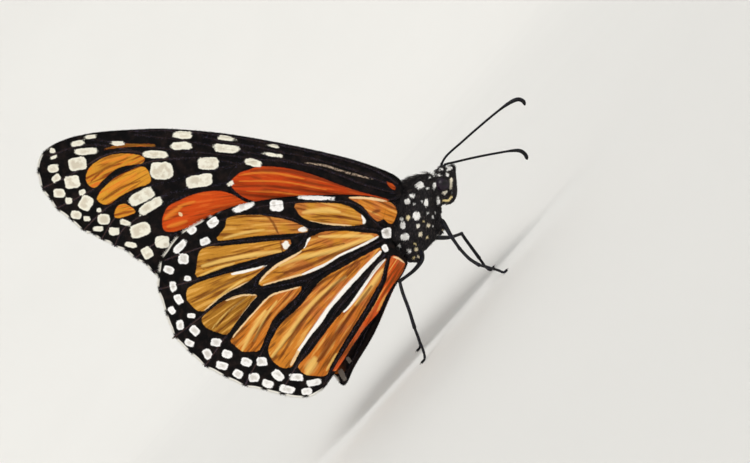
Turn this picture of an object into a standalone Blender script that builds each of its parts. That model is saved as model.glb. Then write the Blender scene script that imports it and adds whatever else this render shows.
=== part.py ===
"""Monarch butterfly at life size, standing with its wings closed over its back.

The insect faces +X with its right side at -Y, and its feet stand on z = 0. Lengths are in
millimetres until a mesh is made, where MM turns them into metres. The origin is on the floor,
in the middle of the insect's length and width.

Wings are drawn in their own plane as (out, fore): out runs from the root along the wing's long
axis, fore towards the leading edge. Wing pieces are thin plates with raised veins.
"""

import math

import bmesh
import bpy
from mathutils import Matrix, Vector
from mathutils.geometry import delaunay_2d_cdt, intersect_point_line

MM = 0.001
GAP = 0.3  # clear space between neighbouring pieces
STAND_X = -6.7  # brings the middle of the length to the origin

# Wings
WING_LEAN = math.radians(48)  # the long axis rises this steeply, backwards
WING_ROOT = (13.5, 16.55)  # x and z where the long axis leaves the thorax
WING_THICK = 0.5
VEIN_RISE = 0.18
VEIN_HALF = 0.38  # half of a vein's width
EDGE_STEP = 2.2  # spacing of a wing's points along its edge, along its veins and between them
VEIN_STEP = 2.6
FILL_STEP = 5.0
FORE_Y = 0.5  # how far the plates' middles stand from the plane between the wings
HIND_Y = 1.55
ROOT_BULGE = 2.1  # how much further out they stand beside the thorax
ROOT_REACH = 5.2
BELLY_BULGE = 1.05  # and the hindwings beside the abdomen
BELLY_REACH = 4.0
HINGE = (9.4, 13.8)  # where a hindwing comes in to the thorax, x and z
HINGE_PULL = 0.62
HINGE_REACH = 2.3
LEFT_HIND_TURN = math.radians(4)  # the left hindwing is drawn a little forward
LEFT_HIND_SHIFT = (0.6, 0.4)

# Body
NECK = (18.0, 14.0)  # x and z of the middle of the neck
NECK_LEAN = math.radians(31)  # the neck's opening leans forward
HEAD_NOD = math.radians(48)  # the face looks this far below the horizontal
HEAD_SIZE = (1.05, 1.3, 2.15)  # half depth, half width, half height
HEAD_AT = (1.0, 0, 0.85)  # ahead of the neck, out from the middle, up the face
EYE_SIZE = (0.95, 0.85, 1.0)
EYE_AT = (0.91, 1.05, 0.62)
WAIST = (8.3, 12.3)
TAIL = (-9.4, 10.7)
SEGMENTS = 8  # rings of the abdomen
ABDOMEN_R = 2.0
CREASE = 0.09  # between its rings

# Limbs
LIMB_SIDES = 8
FEMUR_R, TIBIA_R, TARSUS_R = 0.32, 0.28, 0.25
ANTENNA_R, CLUB_R = 0.25, 0.38
TONGUE_R = 0.4
TONGUE_THICK = 0.5
TONGUE_AT = (1.75, 0, -1.75)
PALP_R = 0.29
PALP_SIDE = (0.86, 0.72)  # how far out a palp stands at its root and at its tip
PALP = [(1.35, -1.9), (2.1, -1.65), (2.5, -0.75), (2.48, 0.6), (2.3, 2.35)]  # ahead, up

FOREWING_EDGE = [
    (0.0, 2.6), (4.1, 4.7), (11.0, 6.6), (21.9, 8.7), (30.8, 9.6), (37.0, 9.5), (42.5, 9.0),
    (46.6, 7.9), (49.1, 6.2), (49.8, 4.2), (49.4, 2.4), (48.4, 0.3), (46.6, -1.7), (43.6, -4.1),
    (38.1, -6.9), (34.6, -9.3), (31.8, -12.0), (29.4, -13.3), (26.0, -12.6), (19.0, -9.9),
    (10.0, -5.4), (3.0, -1.6), (0.2, -0.2),
]
FOREWING_VEINS = [
    [(0.6, 1.9), (8.2, 4.7), (16.4, 6.6), (23.3, 7.8), (26.8, 8.6)],
    [(0.6, 1.1), (4.4, 2.0), (8.2, 3.4), (12.3, 4.7), (18.5, 5.5), (22.0, 4.9)],
    [(13.5, 4.9), (17.3, 5.9), (23.7, 7.0), (29.7, 8.1), (36.2, 8.9)],
    [(18.5, 5.5), (23.8, 6.1), (29.7, 6.7), (35.6, 7.4), (42.2, 8.3)],
    [(22.0, 4.9), (26.0, 5.7), (31.0, 5.6), (34.5, 5.1), (37.7, 3.8), (41.8, 1.5), (46.0, -1.1)],
    [(31.5, 5.6), (37.0, 6.6), (40.5, 6.0), (42.7, 4.8), (45.0, 3.4), (48.5, 1.6)],
    [(33.5, 5.9), (38.5, 7.1), (43.5, 7.4), (48.0, 6.0)],
    [(22.0, 4.9), (26.7, 3.8), (30.8, 2.7), (34.2, 1.8), (39.7, -0.8), (43.0, -3.8)],
    [(23.4, 2.3), (26.7, 1.8), (30.8, 1.1), (33.2, 0.2), (38.4, -1.9), (40.8, -4.9)],
    [(20.8, 0.0), (25.0, 1.0), (28.8, 0.6), (32.9, -0.8), (37.7, -3.8), (39.2, -5.9)],
    [(22.0, 4.9), (23.3, 3.4), (23.0, 1.6), (20.8, 0.0)],
    [(0.6, 0.4), (6.0, -0.7), (13.0, -1.3), (18.0, -0.9), (20.8, 0.0)],
    [(18.0, -0.9), (25.0, -2.3), (30.1, -3.2), (32.9, -4.6), (35.8, -7.3)],
    [(13.0, -1.3), (21.0, -4.6), (28.5, -7.6), (33.4, -9.6)],
    [(0.6, -0.1), (8.0, -3.5), (18.0, -8.1), (29.2, -12.5)],
]
# The front and outer edge of both hindwings, then the rear and inner edge of each.
HINDWING_FRONT = [
    (0.4, -1.2), (1.3, -0.1), (4.2, 0.7), (8.9, 0.8), (14.4, 0.6), (18.9, 0.0), (23.2, -1.0),
    (27.2, -2.7), (30.2, -4.5), (32.2, -7.2), (33.2, -10.2), (32.8, -13.4), (31.6, -17.2),
    (29.8, -20.1), (26.8, -22.7), (23.1, -24.8),
]
RIGHT_REAR = [
    (18.2, -26.3), (13.4, -27.2), (10.8, -26.1), (8.5, -23.0), (5.6, -18.8), (2.3, -14.4),
    (0.4, -11.2), (-0.7, -9.3), (-1.0, -8.0), (0.3, -6.8), (1.2, -4.8), (0.7, -2.6),
]
LEFT_REAR = [
    (18.2, -25.9), (15.2, -25.7), (13.0, -24.4), (11.6, -24.4), (10.1, -25.6), (8.5, -23.0),
    (5.6, -18.8), (3.3, -14.4), (1.7, -11.2), (0.8, -9.3), (0.4, -8.0), (0.8, -6.8),
    (1.2, -4.8), (0.7, -2.6),
]
HINDWING_VEINS = [
    [(2.4, -2.5), (1.9, -0.9)],
    [(1.8, -4.0), (3.4, -2.8), (5.2, -0.9), (7.6, -0.1), (14.0, -0.2), (20.0, -1.0)],
    [(1.8, -4.1), (6.9, -3.6), (12.3, -3.9), (14.6, -2.5), (20.2, -2.0), (26.0, -3.1)],
    [(12.3, -3.9), (14.4, -5.0), (18.9, -5.4), (24.6, -5.85), (28.5, -6.9), (31.6, -8.0)],
    [(12.3, -3.9), (13.7, -6.0), (16.4, -7.4), (21.9, -9.3), (28.8, -11.2), (32.2, -12.1)],
    [(17.6, -7.9), (19.2, -10.0), (19.9, -12.1)],
    [(1.8, -5.0), (3.9, -6.1), (6.4, -7.5), (9.9, -9.4), (12.0, -10.6), (15.3, -11.5),
     (19.9, -12.1)],
    [(19.9, -12.1), (24.7, -13.9), (27.5, -16.2), (30.4, -18.4)],
    [(19.9, -12.1), (21.4, -15.1), (24.0, -18.9), (26.2, -22.2)],
    [(12.0, -10.6), (14.3, -14.1), (16.7, -16.9), (18.5, -20.1), (20.8, -24.7)],
    [(1.9, -7.1), (3.7, -9.4), (7.7, -13.9), (9.8, -16.7), (13.6, -21.9), (15.6, -25.1)],
    [(2.1, -9.8), (3.0, -12.2), (4.2, -14.4), (7.0, -19.0), (10.0, -24.4)],
]

# Limb routes are lists of x, y and z.
MIDLEG_RIGHT = [
    (15.4, -1.7, 10.5), (14.75, -3.5, 8.4), (14.35, -5.2, 6.4), (14.3, -6.4, 4.65), (14.6, -7.3, 3.2),
    (15.3, -7.9, 2.0), (15.8, -8.3, 1.05), (16.15, -8.6, 0.25), (16.7, -8.9, 0.16),
]
MIDLEG_LEFT = [
    (12.5, 1.75, 9.8), (13.9, 3.9, 7.95), (15.35, 6.1, 6.85), (15.05, 6.65, 5.7), (14.7, 7.3, 4.15),
    (14.35, 7.9, 2.6), (14.0, 8.3, 1.0), (14.1, 8.6, 0.22), (14.8, 8.9, 0.16),
]
HINDLEG_RIGHT = [
    (10.3, -1.6, 9.9), (9.65, -2.7, 9.05), (7.95, -4.2, 8.95), (5.75, -6.1, 9.5), (4.9, -6.7, 8.15),
    (3.9, -7.3, 6.15), (2.65, -7.8, 4.0), (1.7, -8.1, 2.1), (1.05, -8.3, 0.85), (0.5, -8.45, 0.22),
    (-0.2, -8.6, 0.16),
]
HINDLEG_LEFT = [
    (10.3, 1.6, 9.9), (9.25, 2.7, 8.75), (7.2, 4.2, 8.45), (4.6, 6.1, 8.8), (3.6, 6.7, 7.3),
    (2.4, 7.3, 5.1), (1.0, 7.8, 2.8), (0.2, 8.1, 1.4), (-0.3, 8.3, 0.6), (-0.7, 8.45, 0.22),
    (-1.4, 8.6, 0.16),
]
FORELEG_RIGHT = [(15.75, -0.9, 10.9), (16.3, -0.95, 11.3), (16.85, -0.9, 12.0)]
FORELEG_LEFT = [(x, -y, z) for x, y, z in FORELEG_RIGHT]
ANTENNA_RIGHT = [
    (21.0, -0.65, 15.7), (22.4, -0.9, 15.95), (25.0, -1.5, 15.7), (27.9, -2.2, 15.4),
    (31.0, -2.9, 15.0), (33.1, -3.4, 14.6), (34.3, -3.7, 14.1), (34.65, -3.8, 13.4),
    (34.4, -3.9, 12.8),
]
ANTENNA_LEFT = [
    (21.25, 0.7, 15.2), (22.3, 1.2, 14.45), (23.9, 2.1, 13.3), (25.6, 3.1, 12.0),
    (27.2, 4.2, 10.7), (28.6, 5.2, 9.5), (29.35, 5.8, 8.6), (29.45, 6.2, 7.7), (29.1, 6.3, 7.0),
]


def material(name, colour, roughness):
    made = bpy.data.materials.new(name)
    made.use_nodes = True
    shader = made.node_tree.nodes["Principled BSDF"]
    shader.inputs["Base Color"].default_value = (*colour, 1)
    shader.inputs["Roughness"].default_value = roughness
    return made


def finish(name, bm, made_of):
    """Turns a bmesh drawn in millimetres into a named object on its stand point."""
    bmesh.ops.recalc_face_normals(bm, faces=bm.faces)
    bmesh.ops.scale(bm, vec=(MM, MM, MM), verts=bm.verts)
    mesh = bpy.data.meshes.new(name)
    bm.to_mesh(mesh)
    bm.free()
    mesh.shade_smooth()
    mesh.set_sharp_from_angle(angle=math.radians(50))
    mesh.materials.append(made_of)
    obj = bpy.data.objects.new(name, mesh)
    obj.location.x = STAND_X * MM
    bpy.context.scene.collection.objects.link(obj)
    return obj


def spline(points, spacing, closed=False):
    """Points about `spacing` apart on a smooth curve through the given points."""
    knots = [Vector(p) for p in points]
    count = len(knots)
    curve = []
    for i in range(count if closed else count - 1):
        if closed:
            before, start, end, after = (knots[(i + k) % count] for k in (-1, 0, 1, 2))
        else:
            before, start = knots[max(i - 1, 0)], knots[i]
            end, after = knots[i + 1], knots[min(i + 2, count - 1)]
        steps = max(1, round((end - start).length / spacing))
        for step in range(steps):
            t = step / steps
            pull = (end - before) * t + (2 * before - 5 * start + 4 * end - after) * t**2
            pull += (3 * start - before - 3 * end + after) * t**3
            curve.append(start + pull / 2)
    if not closed:
        curve.append(knots[-1])
    return curve


def wing_place(out, fore):
    """x and z of a point of the wing plane."""
    lean_cos, lean_sin = math.cos(WING_LEAN), math.sin(WING_LEAN)
    x = WING_ROOT[0] - out * lean_cos + fore * lean_sin
    z = WING_ROOT[1] + out * lean_sin + fore * lean_cos
    return x, z


def distance_to_line(point, start, end):
    """Distance in a plane from a point to the stretch from start to end."""
    nearest, share = intersect_point_line(point, start, end)
    if share < 0:
        nearest = start
    elif share > 1:
        nearest = end
    return (point - Vector(nearest).to_2d()).length


def root_swell(x, z):
    """1 beside the wing roots, falling to 0 away from them."""
    away = math.hypot(x - WING_ROOT[0] + 0.8, z - WING_ROOT[1] + 0.9)
    return math.exp(-((away / ROOT_REACH) ** 2))


def forewing_offset(x, z):
    return FORE_Y + ROOT_BULGE * root_swell(x, z)


def hindwing_offset(x, z):
    """Hindwings lie outside the forewings and round the abdomen, and come in at their hinge."""
    away = distance_to_line(Vector((x, z)), Vector(WAIST), Vector(TAIL))
    belly = math.exp(-((away / BELLY_REACH) ** 2))
    hinge = math.exp(-(((x - HINGE[0]) ** 2 + (z - HINGE[1]) ** 2) / HINGE_REACH**2))
    swell = root_swell(x, z)
    return HIND_Y + ROOT_BULGE * swell + BELLY_BULGE * belly * (1 - swell) - HINGE_PULL * hinge


def distance_to_veins(point, lines):
    return min(
        distance_to_line(point, start, end)
        for line in lines
        for start, end in zip(line, line[1:])
    )


def inside(point, polygon):
    """True where a point lies inside a closed outline."""
    crossings = 0
    for start, end in zip(polygon, polygon[1:] + polygon[:1]):
        if (start.y > point.y) != (end.y > point.y):
            share = (point.y - start.y) / (end.y - start.y)
            crossings += point.x < start.x + share * (end.x - start.x)
    return crossings % 2 == 1


def wing_layout(edge, veins):
    """Flat triangles of a wing: its outline, its veins, their flanks and a loose filling."""
    outline = spline(edge, EDGE_STEP, closed=True)
    lines = [spline(vein, VEIN_STEP) for vein in veins]
    points = list(outline)
    links = [(i, (i + 1) % len(outline)) for i in range(len(outline))]
    for line in lines:
        first = len(points)
        points += line
        links += [(first + i, first + i + 1) for i in range(len(line) - 1)]

    extra = []
    for line in lines:
        for start, end in zip(line, line[1:]):
            along = (end - start).normalized()
            flank = Vector((-along.y, along.x)) * VEIN_HALF
            extra += [start + flank, start - flank]
    low = [min(p[k] for p in outline) for k in (0, 1)]
    high = [max(p[k] for p in outline) for k in (0, 1)]
    for i in range(int((high[0] - low[0]) / FILL_STEP)):
        for j in range(int((high[1] - low[1]) / FILL_STEP)):
            out = low[0] + (i + 0.5) * FILL_STEP
            fore = low[1] + (j + 0.5) * FILL_STEP
            extra.append(Vector((out, fore)))
    rim = list(zip(outline, outline[1:] + outline[:1]))
    for point in extra:
        clear_of_rim = min(distance_to_line(point, a, b) for a, b in rim) > VEIN_HALF
        clear_of_veins = distance_to_veins(point, lines) > 0.9 * VEIN_HALF
        if clear_of_rim and clear_of_veins and inside(point, outline):
            points.append(point)
    flat = delaunay_2d_cdt(points, links, [list(range(len(outline)))], 1, 0.02)
    return flat[0], flat[2], lines


def wing(name, layout, offset, side, made_of, turn=0.0, shift=(0.0, 0.0)):
    """A plate standing `offset` from the middle plane, with its veins raised on the outside."""
    points, faces, lines = layout
    bm = bmesh.new()
    outer, inner = [], []
    for point in points:
        rise = VEIN_RISE * max(0, 1 - distance_to_veins(point, lines) / VEIN_HALF)
        out = point.x * math.cos(turn) + point.y * math.sin(turn) - shift[0]
        fore = point.y * math.cos(turn) - point.x * math.sin(turn) + shift[1]
        x, z = wing_place(out, fore)
        middle = offset(x, z)
        outer.append(bm.verts.new((x, side * (middle + WING_THICK / 2 + rise), z)))
        inner.append(bm.verts.new((x, side * (middle - WING_THICK / 2), z)))
    for face in faces:
        bm.faces.new([outer[i] for i in face])
        bm.faces.new([inner[i] for i in reversed(face)])
    rim = [edge for edge in bm.edges if edge.is_boundary and edge.verts[0] in outer]
    twin = dict(zip(outer, inner))
    for edge in rim:
        start, end = edge.verts
        bm.faces.new((start, end, twin[end], twin[start]))
    bmesh.ops.triangulate(bm, faces=bm.faces)
    return finish(name, bm, made_of)


def lofted(rings, closed_ends):
    """A bmesh through rings of equal count, its ends closed by a fan or to a point."""
    bm = bmesh.new()
    made = [[bm.verts.new(p) for p in ring] for ring in rings]
    for one, other in zip(made, made[1:]):
        for i in range(len(one)):
            j = (i + 1) % len(one)
            bm.faces.new((one[i], one[j], other[j], other[i]))
    for ring, tip in ((made[0], closed_ends[0]), (made[-1], closed_ends[1])):
        if tip is None:
            bm.faces.new(ring)
        else:
            point = bm.verts.new(tip)
            for i in range(len(ring)):
                bm.faces.new((ring[i], ring[(i + 1) % len(ring)], point))
    return bm


def body_ring(x, z, half_height, half_width, lean, sides, narrow=0.0):
    """An upright oval ring, leaned forward by `lean` and narrower above by `narrow`."""
    ring = []
    for i in range(sides):
        turn = 2 * math.pi * i / sides
        up = half_height * math.cos(turn)
        width = half_width * (1 - narrow * max(0, math.cos(turn)))
        y = width * math.sin(turn)
        ring.append((x + up * math.sin(lean), y, z + up * math.cos(lean)))
    return ring


def thorax(made_of):
    front = (NECK[0] - GAP * math.cos(NECK_LEAN), NECK[1] + GAP * math.sin(NECK_LEAN))
    stations = [  # x, z, half height, half width, lean in degrees
        (*front, 1.35, 1.0, 31),
        (front[0] - 0.35, front[1] + 0.1, 2.1, 1.6, 28),
        (16.7, 14.25, 3.05, 2.2, 21),
        (15.2, 13.85, 4.05, 2.55, 12),
        (13.6, 13.85, 4.3, 2.65, 5),
        (12.0, 13.6, 4.35, 2.6, 0),
        (10.5, 13.2, 3.9, 2.3, -2),
        (9.3, 12.6, 3.05, 1.85, -4),
        (8.6, 12.5, 1.75, 1.3, -5),
    ]
    rings = [
        body_ring(x, z, high, wide, math.radians(lean), 24, narrow=0.18)
        for x, z, high, wide, lean in stations
    ]
    return finish("thorax", lofted(rings, (None, None)), made_of)


def abdomen(made_of):
    """Eight rings that swell behind the waist and taper to the tail."""
    rings = []
    steps = SEGMENTS * 3
    for step in range(steps + 1):
        share = step / steps
        x = WAIST[0] + (TAIL[0] - WAIST[0]) * share
        z = WAIST[1] + (TAIL[1] - WAIST[1]) * share - 0.5 * math.sin(math.pi * share)
        swell = math.sin(math.pi * min(1, 0.2 + 0.62 * share)) ** 0.7
        taper = 1 - 0.55 * max(0, share - 0.6) / 0.4
        crease = CREASE if step % 3 == 0 else 0
        radius = ABDOMEN_R * swell * taper - crease
        rings.append(body_ring(x, z, radius, radius * 0.93, 0, 16))
    tip = (TAIL[0] - 0.5, 0, TAIL[1] - 0.1)
    return finish("abdomen", lofted(rings, (None, tip)), made_of)


def face_place(ahead, aside, up):
    """A point of the head, whose face looks forward and down from the neck."""
    nod_cos, nod_sin = math.cos(HEAD_NOD), math.sin(HEAD_NOD)
    x = NECK[0] + ahead * nod_cos + up * nod_sin
    z = NECK[1] - ahead * nod_sin + up * nod_cos
    return Vector((x, aside, z))


def ball(middle, size, segments, rings):
    """An oval ball of the head, drawn in the head's own directions."""
    bm = bmesh.new()
    bmesh.ops.create_uvsphere(bm, u_segments=segments, v_segments=rings, radius=1)
    for vert in bm.verts:
        ahead, aside, up = (m + s * c for m, s, c in zip(middle, size, vert.co))
        vert.co = face_place(ahead, aside, up)
    return bm


def head(made_of):
    """The head, with a socket for each eye."""
    skull = finish("head", ball(HEAD_AT, HEAD_SIZE, 22, 14), made_of)
    for side in (-1, 1):
        size = tuple(s + GAP * 0.8 for s in EYE_SIZE)
        place = (EYE_AT[0], side * EYE_AT[1], EYE_AT[2])
        socket = finish(f"socket_{side}", ball(place, size, 18, 10), made_of)
        socket.hide_render = True
        socket.display_type = "WIRE"
        cut = skull.modifiers.new("eye", "BOOLEAN")
        cut.operation = "DIFFERENCE"
        cut.object = socket
    return skull


def eye(name, side, made_of):
    place = (EYE_AT[0], side * EYE_AT[1], EYE_AT[2])
    return finish(name, ball(place, EYE_SIZE, 18, 10), made_of)


def tube(route, radii, sides=LIMB_SIDES, floor=None):
    """A tapering limb along a route; below `floor` its underside is flat."""
    line = [Vector(p) for p in route]
    rings = []
    across = Vector((0, 1, 0))
    for i, point in enumerate(line):
        along = (line[min(i + 1, len(line) - 1)] - line[max(i - 1, 0)]).normalized()
        across = (across - along * across.dot(along)).normalized()
        upward = along.cross(across)
        ring = []
        for k in range(sides):
            turn = 2 * math.pi * (k + 0.5) / sides
            spot = point + radii[i] * (across * math.cos(turn) + upward * math.sin(turn))
            if floor is not None:
                spot.z = max(spot.z, floor)
            ring.append(tuple(spot))
        rings.append(ring)
    return lofted(rings, (None, None))


def leg(name, route, radii, made_of):
    return finish(name, tube(route, radii, floor=0), made_of)


def antenna(name, route, made_of):
    """A thin shaft that swells into a hooked club."""
    line = spline(route, 1.4)
    radii = []
    for i in range(len(line)):
        share = i / (len(line) - 1)
        swell = max(0, (share - 0.72) / 0.2) if share < 0.92 else (1 - share) / 0.08
        radii.append(ANTENNA_R + (CLUB_R - ANTENNA_R) * min(1, swell))
    return finish(name, tube(line, radii, sides=7), made_of)


def palp(name, side, made_of):
    """An upturned mouth palp in front of the face."""
    curve = spline(PALP, 0.7)
    line = []
    for i, point in enumerate(curve):
        aside = PALP_SIDE[0] + (PALP_SIDE[1] - PALP_SIDE[0]) * i / (len(curve) - 1)
        line.append(face_place(point.x, side * aside, point.y))
    return finish(name, tube(line, [PALP_R] * len(line), sides=8), made_of)


def proboscis(made_of):
    """The coiled tongue as one small disc between the palps."""
    bm = bmesh.new()
    bmesh.ops.create_cone(
        bm, cap_ends=True, segments=14, radius1=TONGUE_R, radius2=TONGUE_R, depth=TONGUE_THICK
    )
    turned = Matrix.Rotation(math.pi / 2, 4, "X")
    bmesh.ops.transform(bm, matrix=turned, verts=bm.verts)
    bmesh.ops.translate(bm, vec=face_place(*TONGUE_AT), verts=bm.verts)
    return finish("proboscis", bm, made_of)


def build():
    for obj in list(bpy.data.objects):
        bpy.data.objects.remove(obj, do_unlink=True)
    coat = material("black_coat", (0.012, 0.011, 0.012), 0.85)
    horn = material("black_horn", (0.015, 0.014, 0.016), 0.4)
    lens = material("eye", (0.02, 0.012, 0.025), 0.2)
    orange = material("orange_wing", (0.62, 0.17, 0.03), 0.8)
    ochre = material("ochre_wing", (0.6, 0.3, 0.08), 0.8)

    thorax(coat)
    abdomen(coat)
    head(coat)
    proboscis(horn)
    fore = wing_layout(FOREWING_EDGE, FOREWING_VEINS)
    right_hind = wing_layout(HINDWING_FRONT + RIGHT_REAR, HINDWING_VEINS)
    left_hind = wing_layout(HINDWING_FRONT + LEFT_REAR, HINDWING_VEINS)
    for side, word in ((-1, "right"), (1, "left")):
        eye(f"eye_{word}", side, lens)
        palp(f"palp_{word}", side, coat)
        wing(f"forewing_{word}", fore, forewing_offset, side, orange)
    wing("hindwing_right", right_hind, hindwing_offset, -1, ochre)
    wing("hindwing_left", left_hind, hindwing_offset, 1, ochre, LEFT_HIND_TURN, LEFT_HIND_SHIFT)
    for word, fore_route, mid_route, hind_route in (
        ("right", FORELEG_RIGHT, MIDLEG_RIGHT, HINDLEG_RIGHT),
        ("left", FORELEG_LEFT, MIDLEG_LEFT, HINDLEG_LEFT),
    ):
        leg(f"foreleg_{word}", fore_route, (0.27, 0.3, 0.25), coat)
        leg(f"midleg_{word}", mid_route, [FEMUR_R] * 3 + [TIBIA_R] * 3 + [TARSUS_R] * 3, horn)
        leg(f"hindleg_{word}", hind_route, [FEMUR_R] * 4 + [TIBIA_R] * 3 + [TARSUS_R] * 4, horn)
    antenna("antenna_right", ANTENNA_RIGHT, horn)
    antenna("antenna_left", ANTENNA_LEFT, horn)


build()
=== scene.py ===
"""The looks of the monarch butterfly: wings, hairy body, eyes, feelers and legs on a pale floor.

Shapes are drawn in millimetres in the part's own drawing frame, x forward, y left and z up, and
moved onto the stand point when a piece is made. Wing patterns are drawn in the wing's plane as
(out, fore): out runs from the root along the wing, fore towards its leading edge.
"""

import math

import bpy
import numpy as np
from mathutils import Matrix, Vector
from mathutils.geometry import delaunay_2d_cdt


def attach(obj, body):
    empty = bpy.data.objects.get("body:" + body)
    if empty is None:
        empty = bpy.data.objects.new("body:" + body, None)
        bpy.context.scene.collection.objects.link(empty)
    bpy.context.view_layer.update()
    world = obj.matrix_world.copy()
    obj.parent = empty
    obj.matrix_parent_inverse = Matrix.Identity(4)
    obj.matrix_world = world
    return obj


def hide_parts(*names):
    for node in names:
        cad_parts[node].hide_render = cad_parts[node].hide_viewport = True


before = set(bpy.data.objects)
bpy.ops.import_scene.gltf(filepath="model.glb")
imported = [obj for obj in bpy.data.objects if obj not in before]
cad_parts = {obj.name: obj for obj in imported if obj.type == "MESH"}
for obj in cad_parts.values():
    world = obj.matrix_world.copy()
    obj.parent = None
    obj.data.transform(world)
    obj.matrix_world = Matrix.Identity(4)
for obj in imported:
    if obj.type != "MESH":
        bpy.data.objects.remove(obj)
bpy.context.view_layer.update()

MM = 0.001
STAND_X = -6.7
OUTSIDE = -9.0  # the depth that points far outside every marking get

# Wings
WING_LEAN = math.radians(48)
WING_ROOT = (13.5, 16.55)
FORE_Y, HIND_Y = 0.5, 1.55
ROOT_BULGE, ROOT_REACH = 2.1, 5.2
BELLY_BULGE, BELLY_REACH = 1.05, 4.0
HINGE, HINGE_PULL, HINGE_REACH = (9.4, 13.8), 0.62, 2.3
LEFT_HIND_TURN, LEFT_HIND_SHIFT = math.radians(4), (0.6, 0.4)
MEMBRANE = 0.06  # half of a wing's thickness
CELL = 0.22  # spacing of a wing's points
PLEAT = 0.13  # height of its folds
CRIMP = 0.05  # height of the finer ones
FAN_REACH = 20.0  # how far behind a patch's middle its rows of scales would meet
SCALLOP = 0.22  # how far the outer edge draws in between veins
FRINGE_SPACING = 0.075
FRINGE_LENGTH, FRINGE_MORE = 0.12, 0.16  # of a hair, and what the outer edge's hairs add to it
FRINGE_HALF = 0.035  # half of a hair's width

# Body
NECK = (18.0, 14.0)
HEAD_NOD = math.radians(48)
HEAD_SIZE = (1.3, 1.25, 2.2)
HEAD_AT = (1.05, 0, 0.72)
EYE_SIZE = (0.95, 0.85, 1.0)
EYE_AT = (0.91, 1.05, 0.62)
PALP_SIDE = (0.86, 0.72)
PALP = [(1.35, -1.9), (2.1, -1.65), (2.5, -0.75), (2.48, 0.6), (2.25, 2.75)]
PALP_GIRTH, FORELEG_GIRTH = 0.34, 0.4
WAIST, TAIL = (8.3, 12.3), (-9.4, 10.7)
SEGMENTS = 8
SKIN_VOXEL = 0.09
SEGMENT_STEP = 0.11  # how far each ring of the abdomen stands over the next
SUTURE_WIDTH = 0.16
COAT_DEPTH = 0.14
COAT_END_X = 8.9  # where the thorax's hair gives way to the abdomen's scales
COAT_PATCH = 0.003  # size of a tuft's patch on the map

# Legs, feelers and tongue
JOINT = (0.27, 0.27, 0.27)
TOE_GIRTH, TOE_SWELL = 0.17, 0.035
SPINE_HALF, SPUR_LENGTH, SPUR_HALF = 0.028, 0.42, 0.04
FEELER_GIRTH, CLUB_SWELL = 0.165, 0.125
FEELER_BASE, FEELER_SECOND = (0.28, 0.28, 0.28), (0.21, 0.21, 0.21)
RING_LENGTH, RING_SHORTER = 0.42, 0.16  # of a feeler's ring, and what it loses in the club
TONGUE_AT = (1.75, 0, -1.75)
TONGUE_TURNS = 2.4


# ---- outlines and veins

FOREWING_EDGE = [
    (0, 2.6), (4.1, 4.7), (11, 6.6), (21.9, 8.7), (30.8, 9.6), (37, 9.5), (42.5, 9), (46.6, 7.9),
    (49.1, 6.2), (49.8, 4.2), (49.4, 2.4), (48.4, 0.3), (46.6, -1.7), (43.6, -4.1), (38.1, -6.9),
    (34.6, -9.3), (31.8, -12), (29.4, -13.3), (26, -12.6), (19, -9.9), (10, -5.4), (3, -1.6), (0.2, -0.2),
]
# The front and outer edge of both hindwings, then the rear and inner edge of each.
HINDWING_FRONT = [
    (0.4, -1.2), (1.3, -0.1), (4.2, 0.7), (8.9, 0.8), (14.4, 0.6), (18.9, 0), (23.2, -1), (27.2, -2.7),
    (30.2, -4.5), (32.2, -7.2), (33.2, -10.2), (32.8, -13.4), (31.6, -17.2), (29.8, -20.1), (26.8, -22.7),
    (23.1, -24.8),
]
RIGHT_REAR = [
    (18.2, -26.3), (13.4, -27.2), (10.8, -26.1), (8.5, -23), (5.6, -18.8), (2.3, -14.4), (0.4, -11.2),
    (-0.7, -9.3), (-1, -8), (0.3, -6.8), (1.2, -4.8), (0.7, -2.6),
]
LEFT_REAR = [
    (18.2, -25.9), (15.2, -25.7), (13, -24.4), (11.6, -24.4), (10.1, -25.6), (8.5, -23), (5.6, -18.8),
    (3.3, -14.4), (1.7, -11.2), (0.8, -9.3), (0.4, -8), (0.8, -6.8), (1.2, -4.8), (0.7, -2.6),
]
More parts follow.
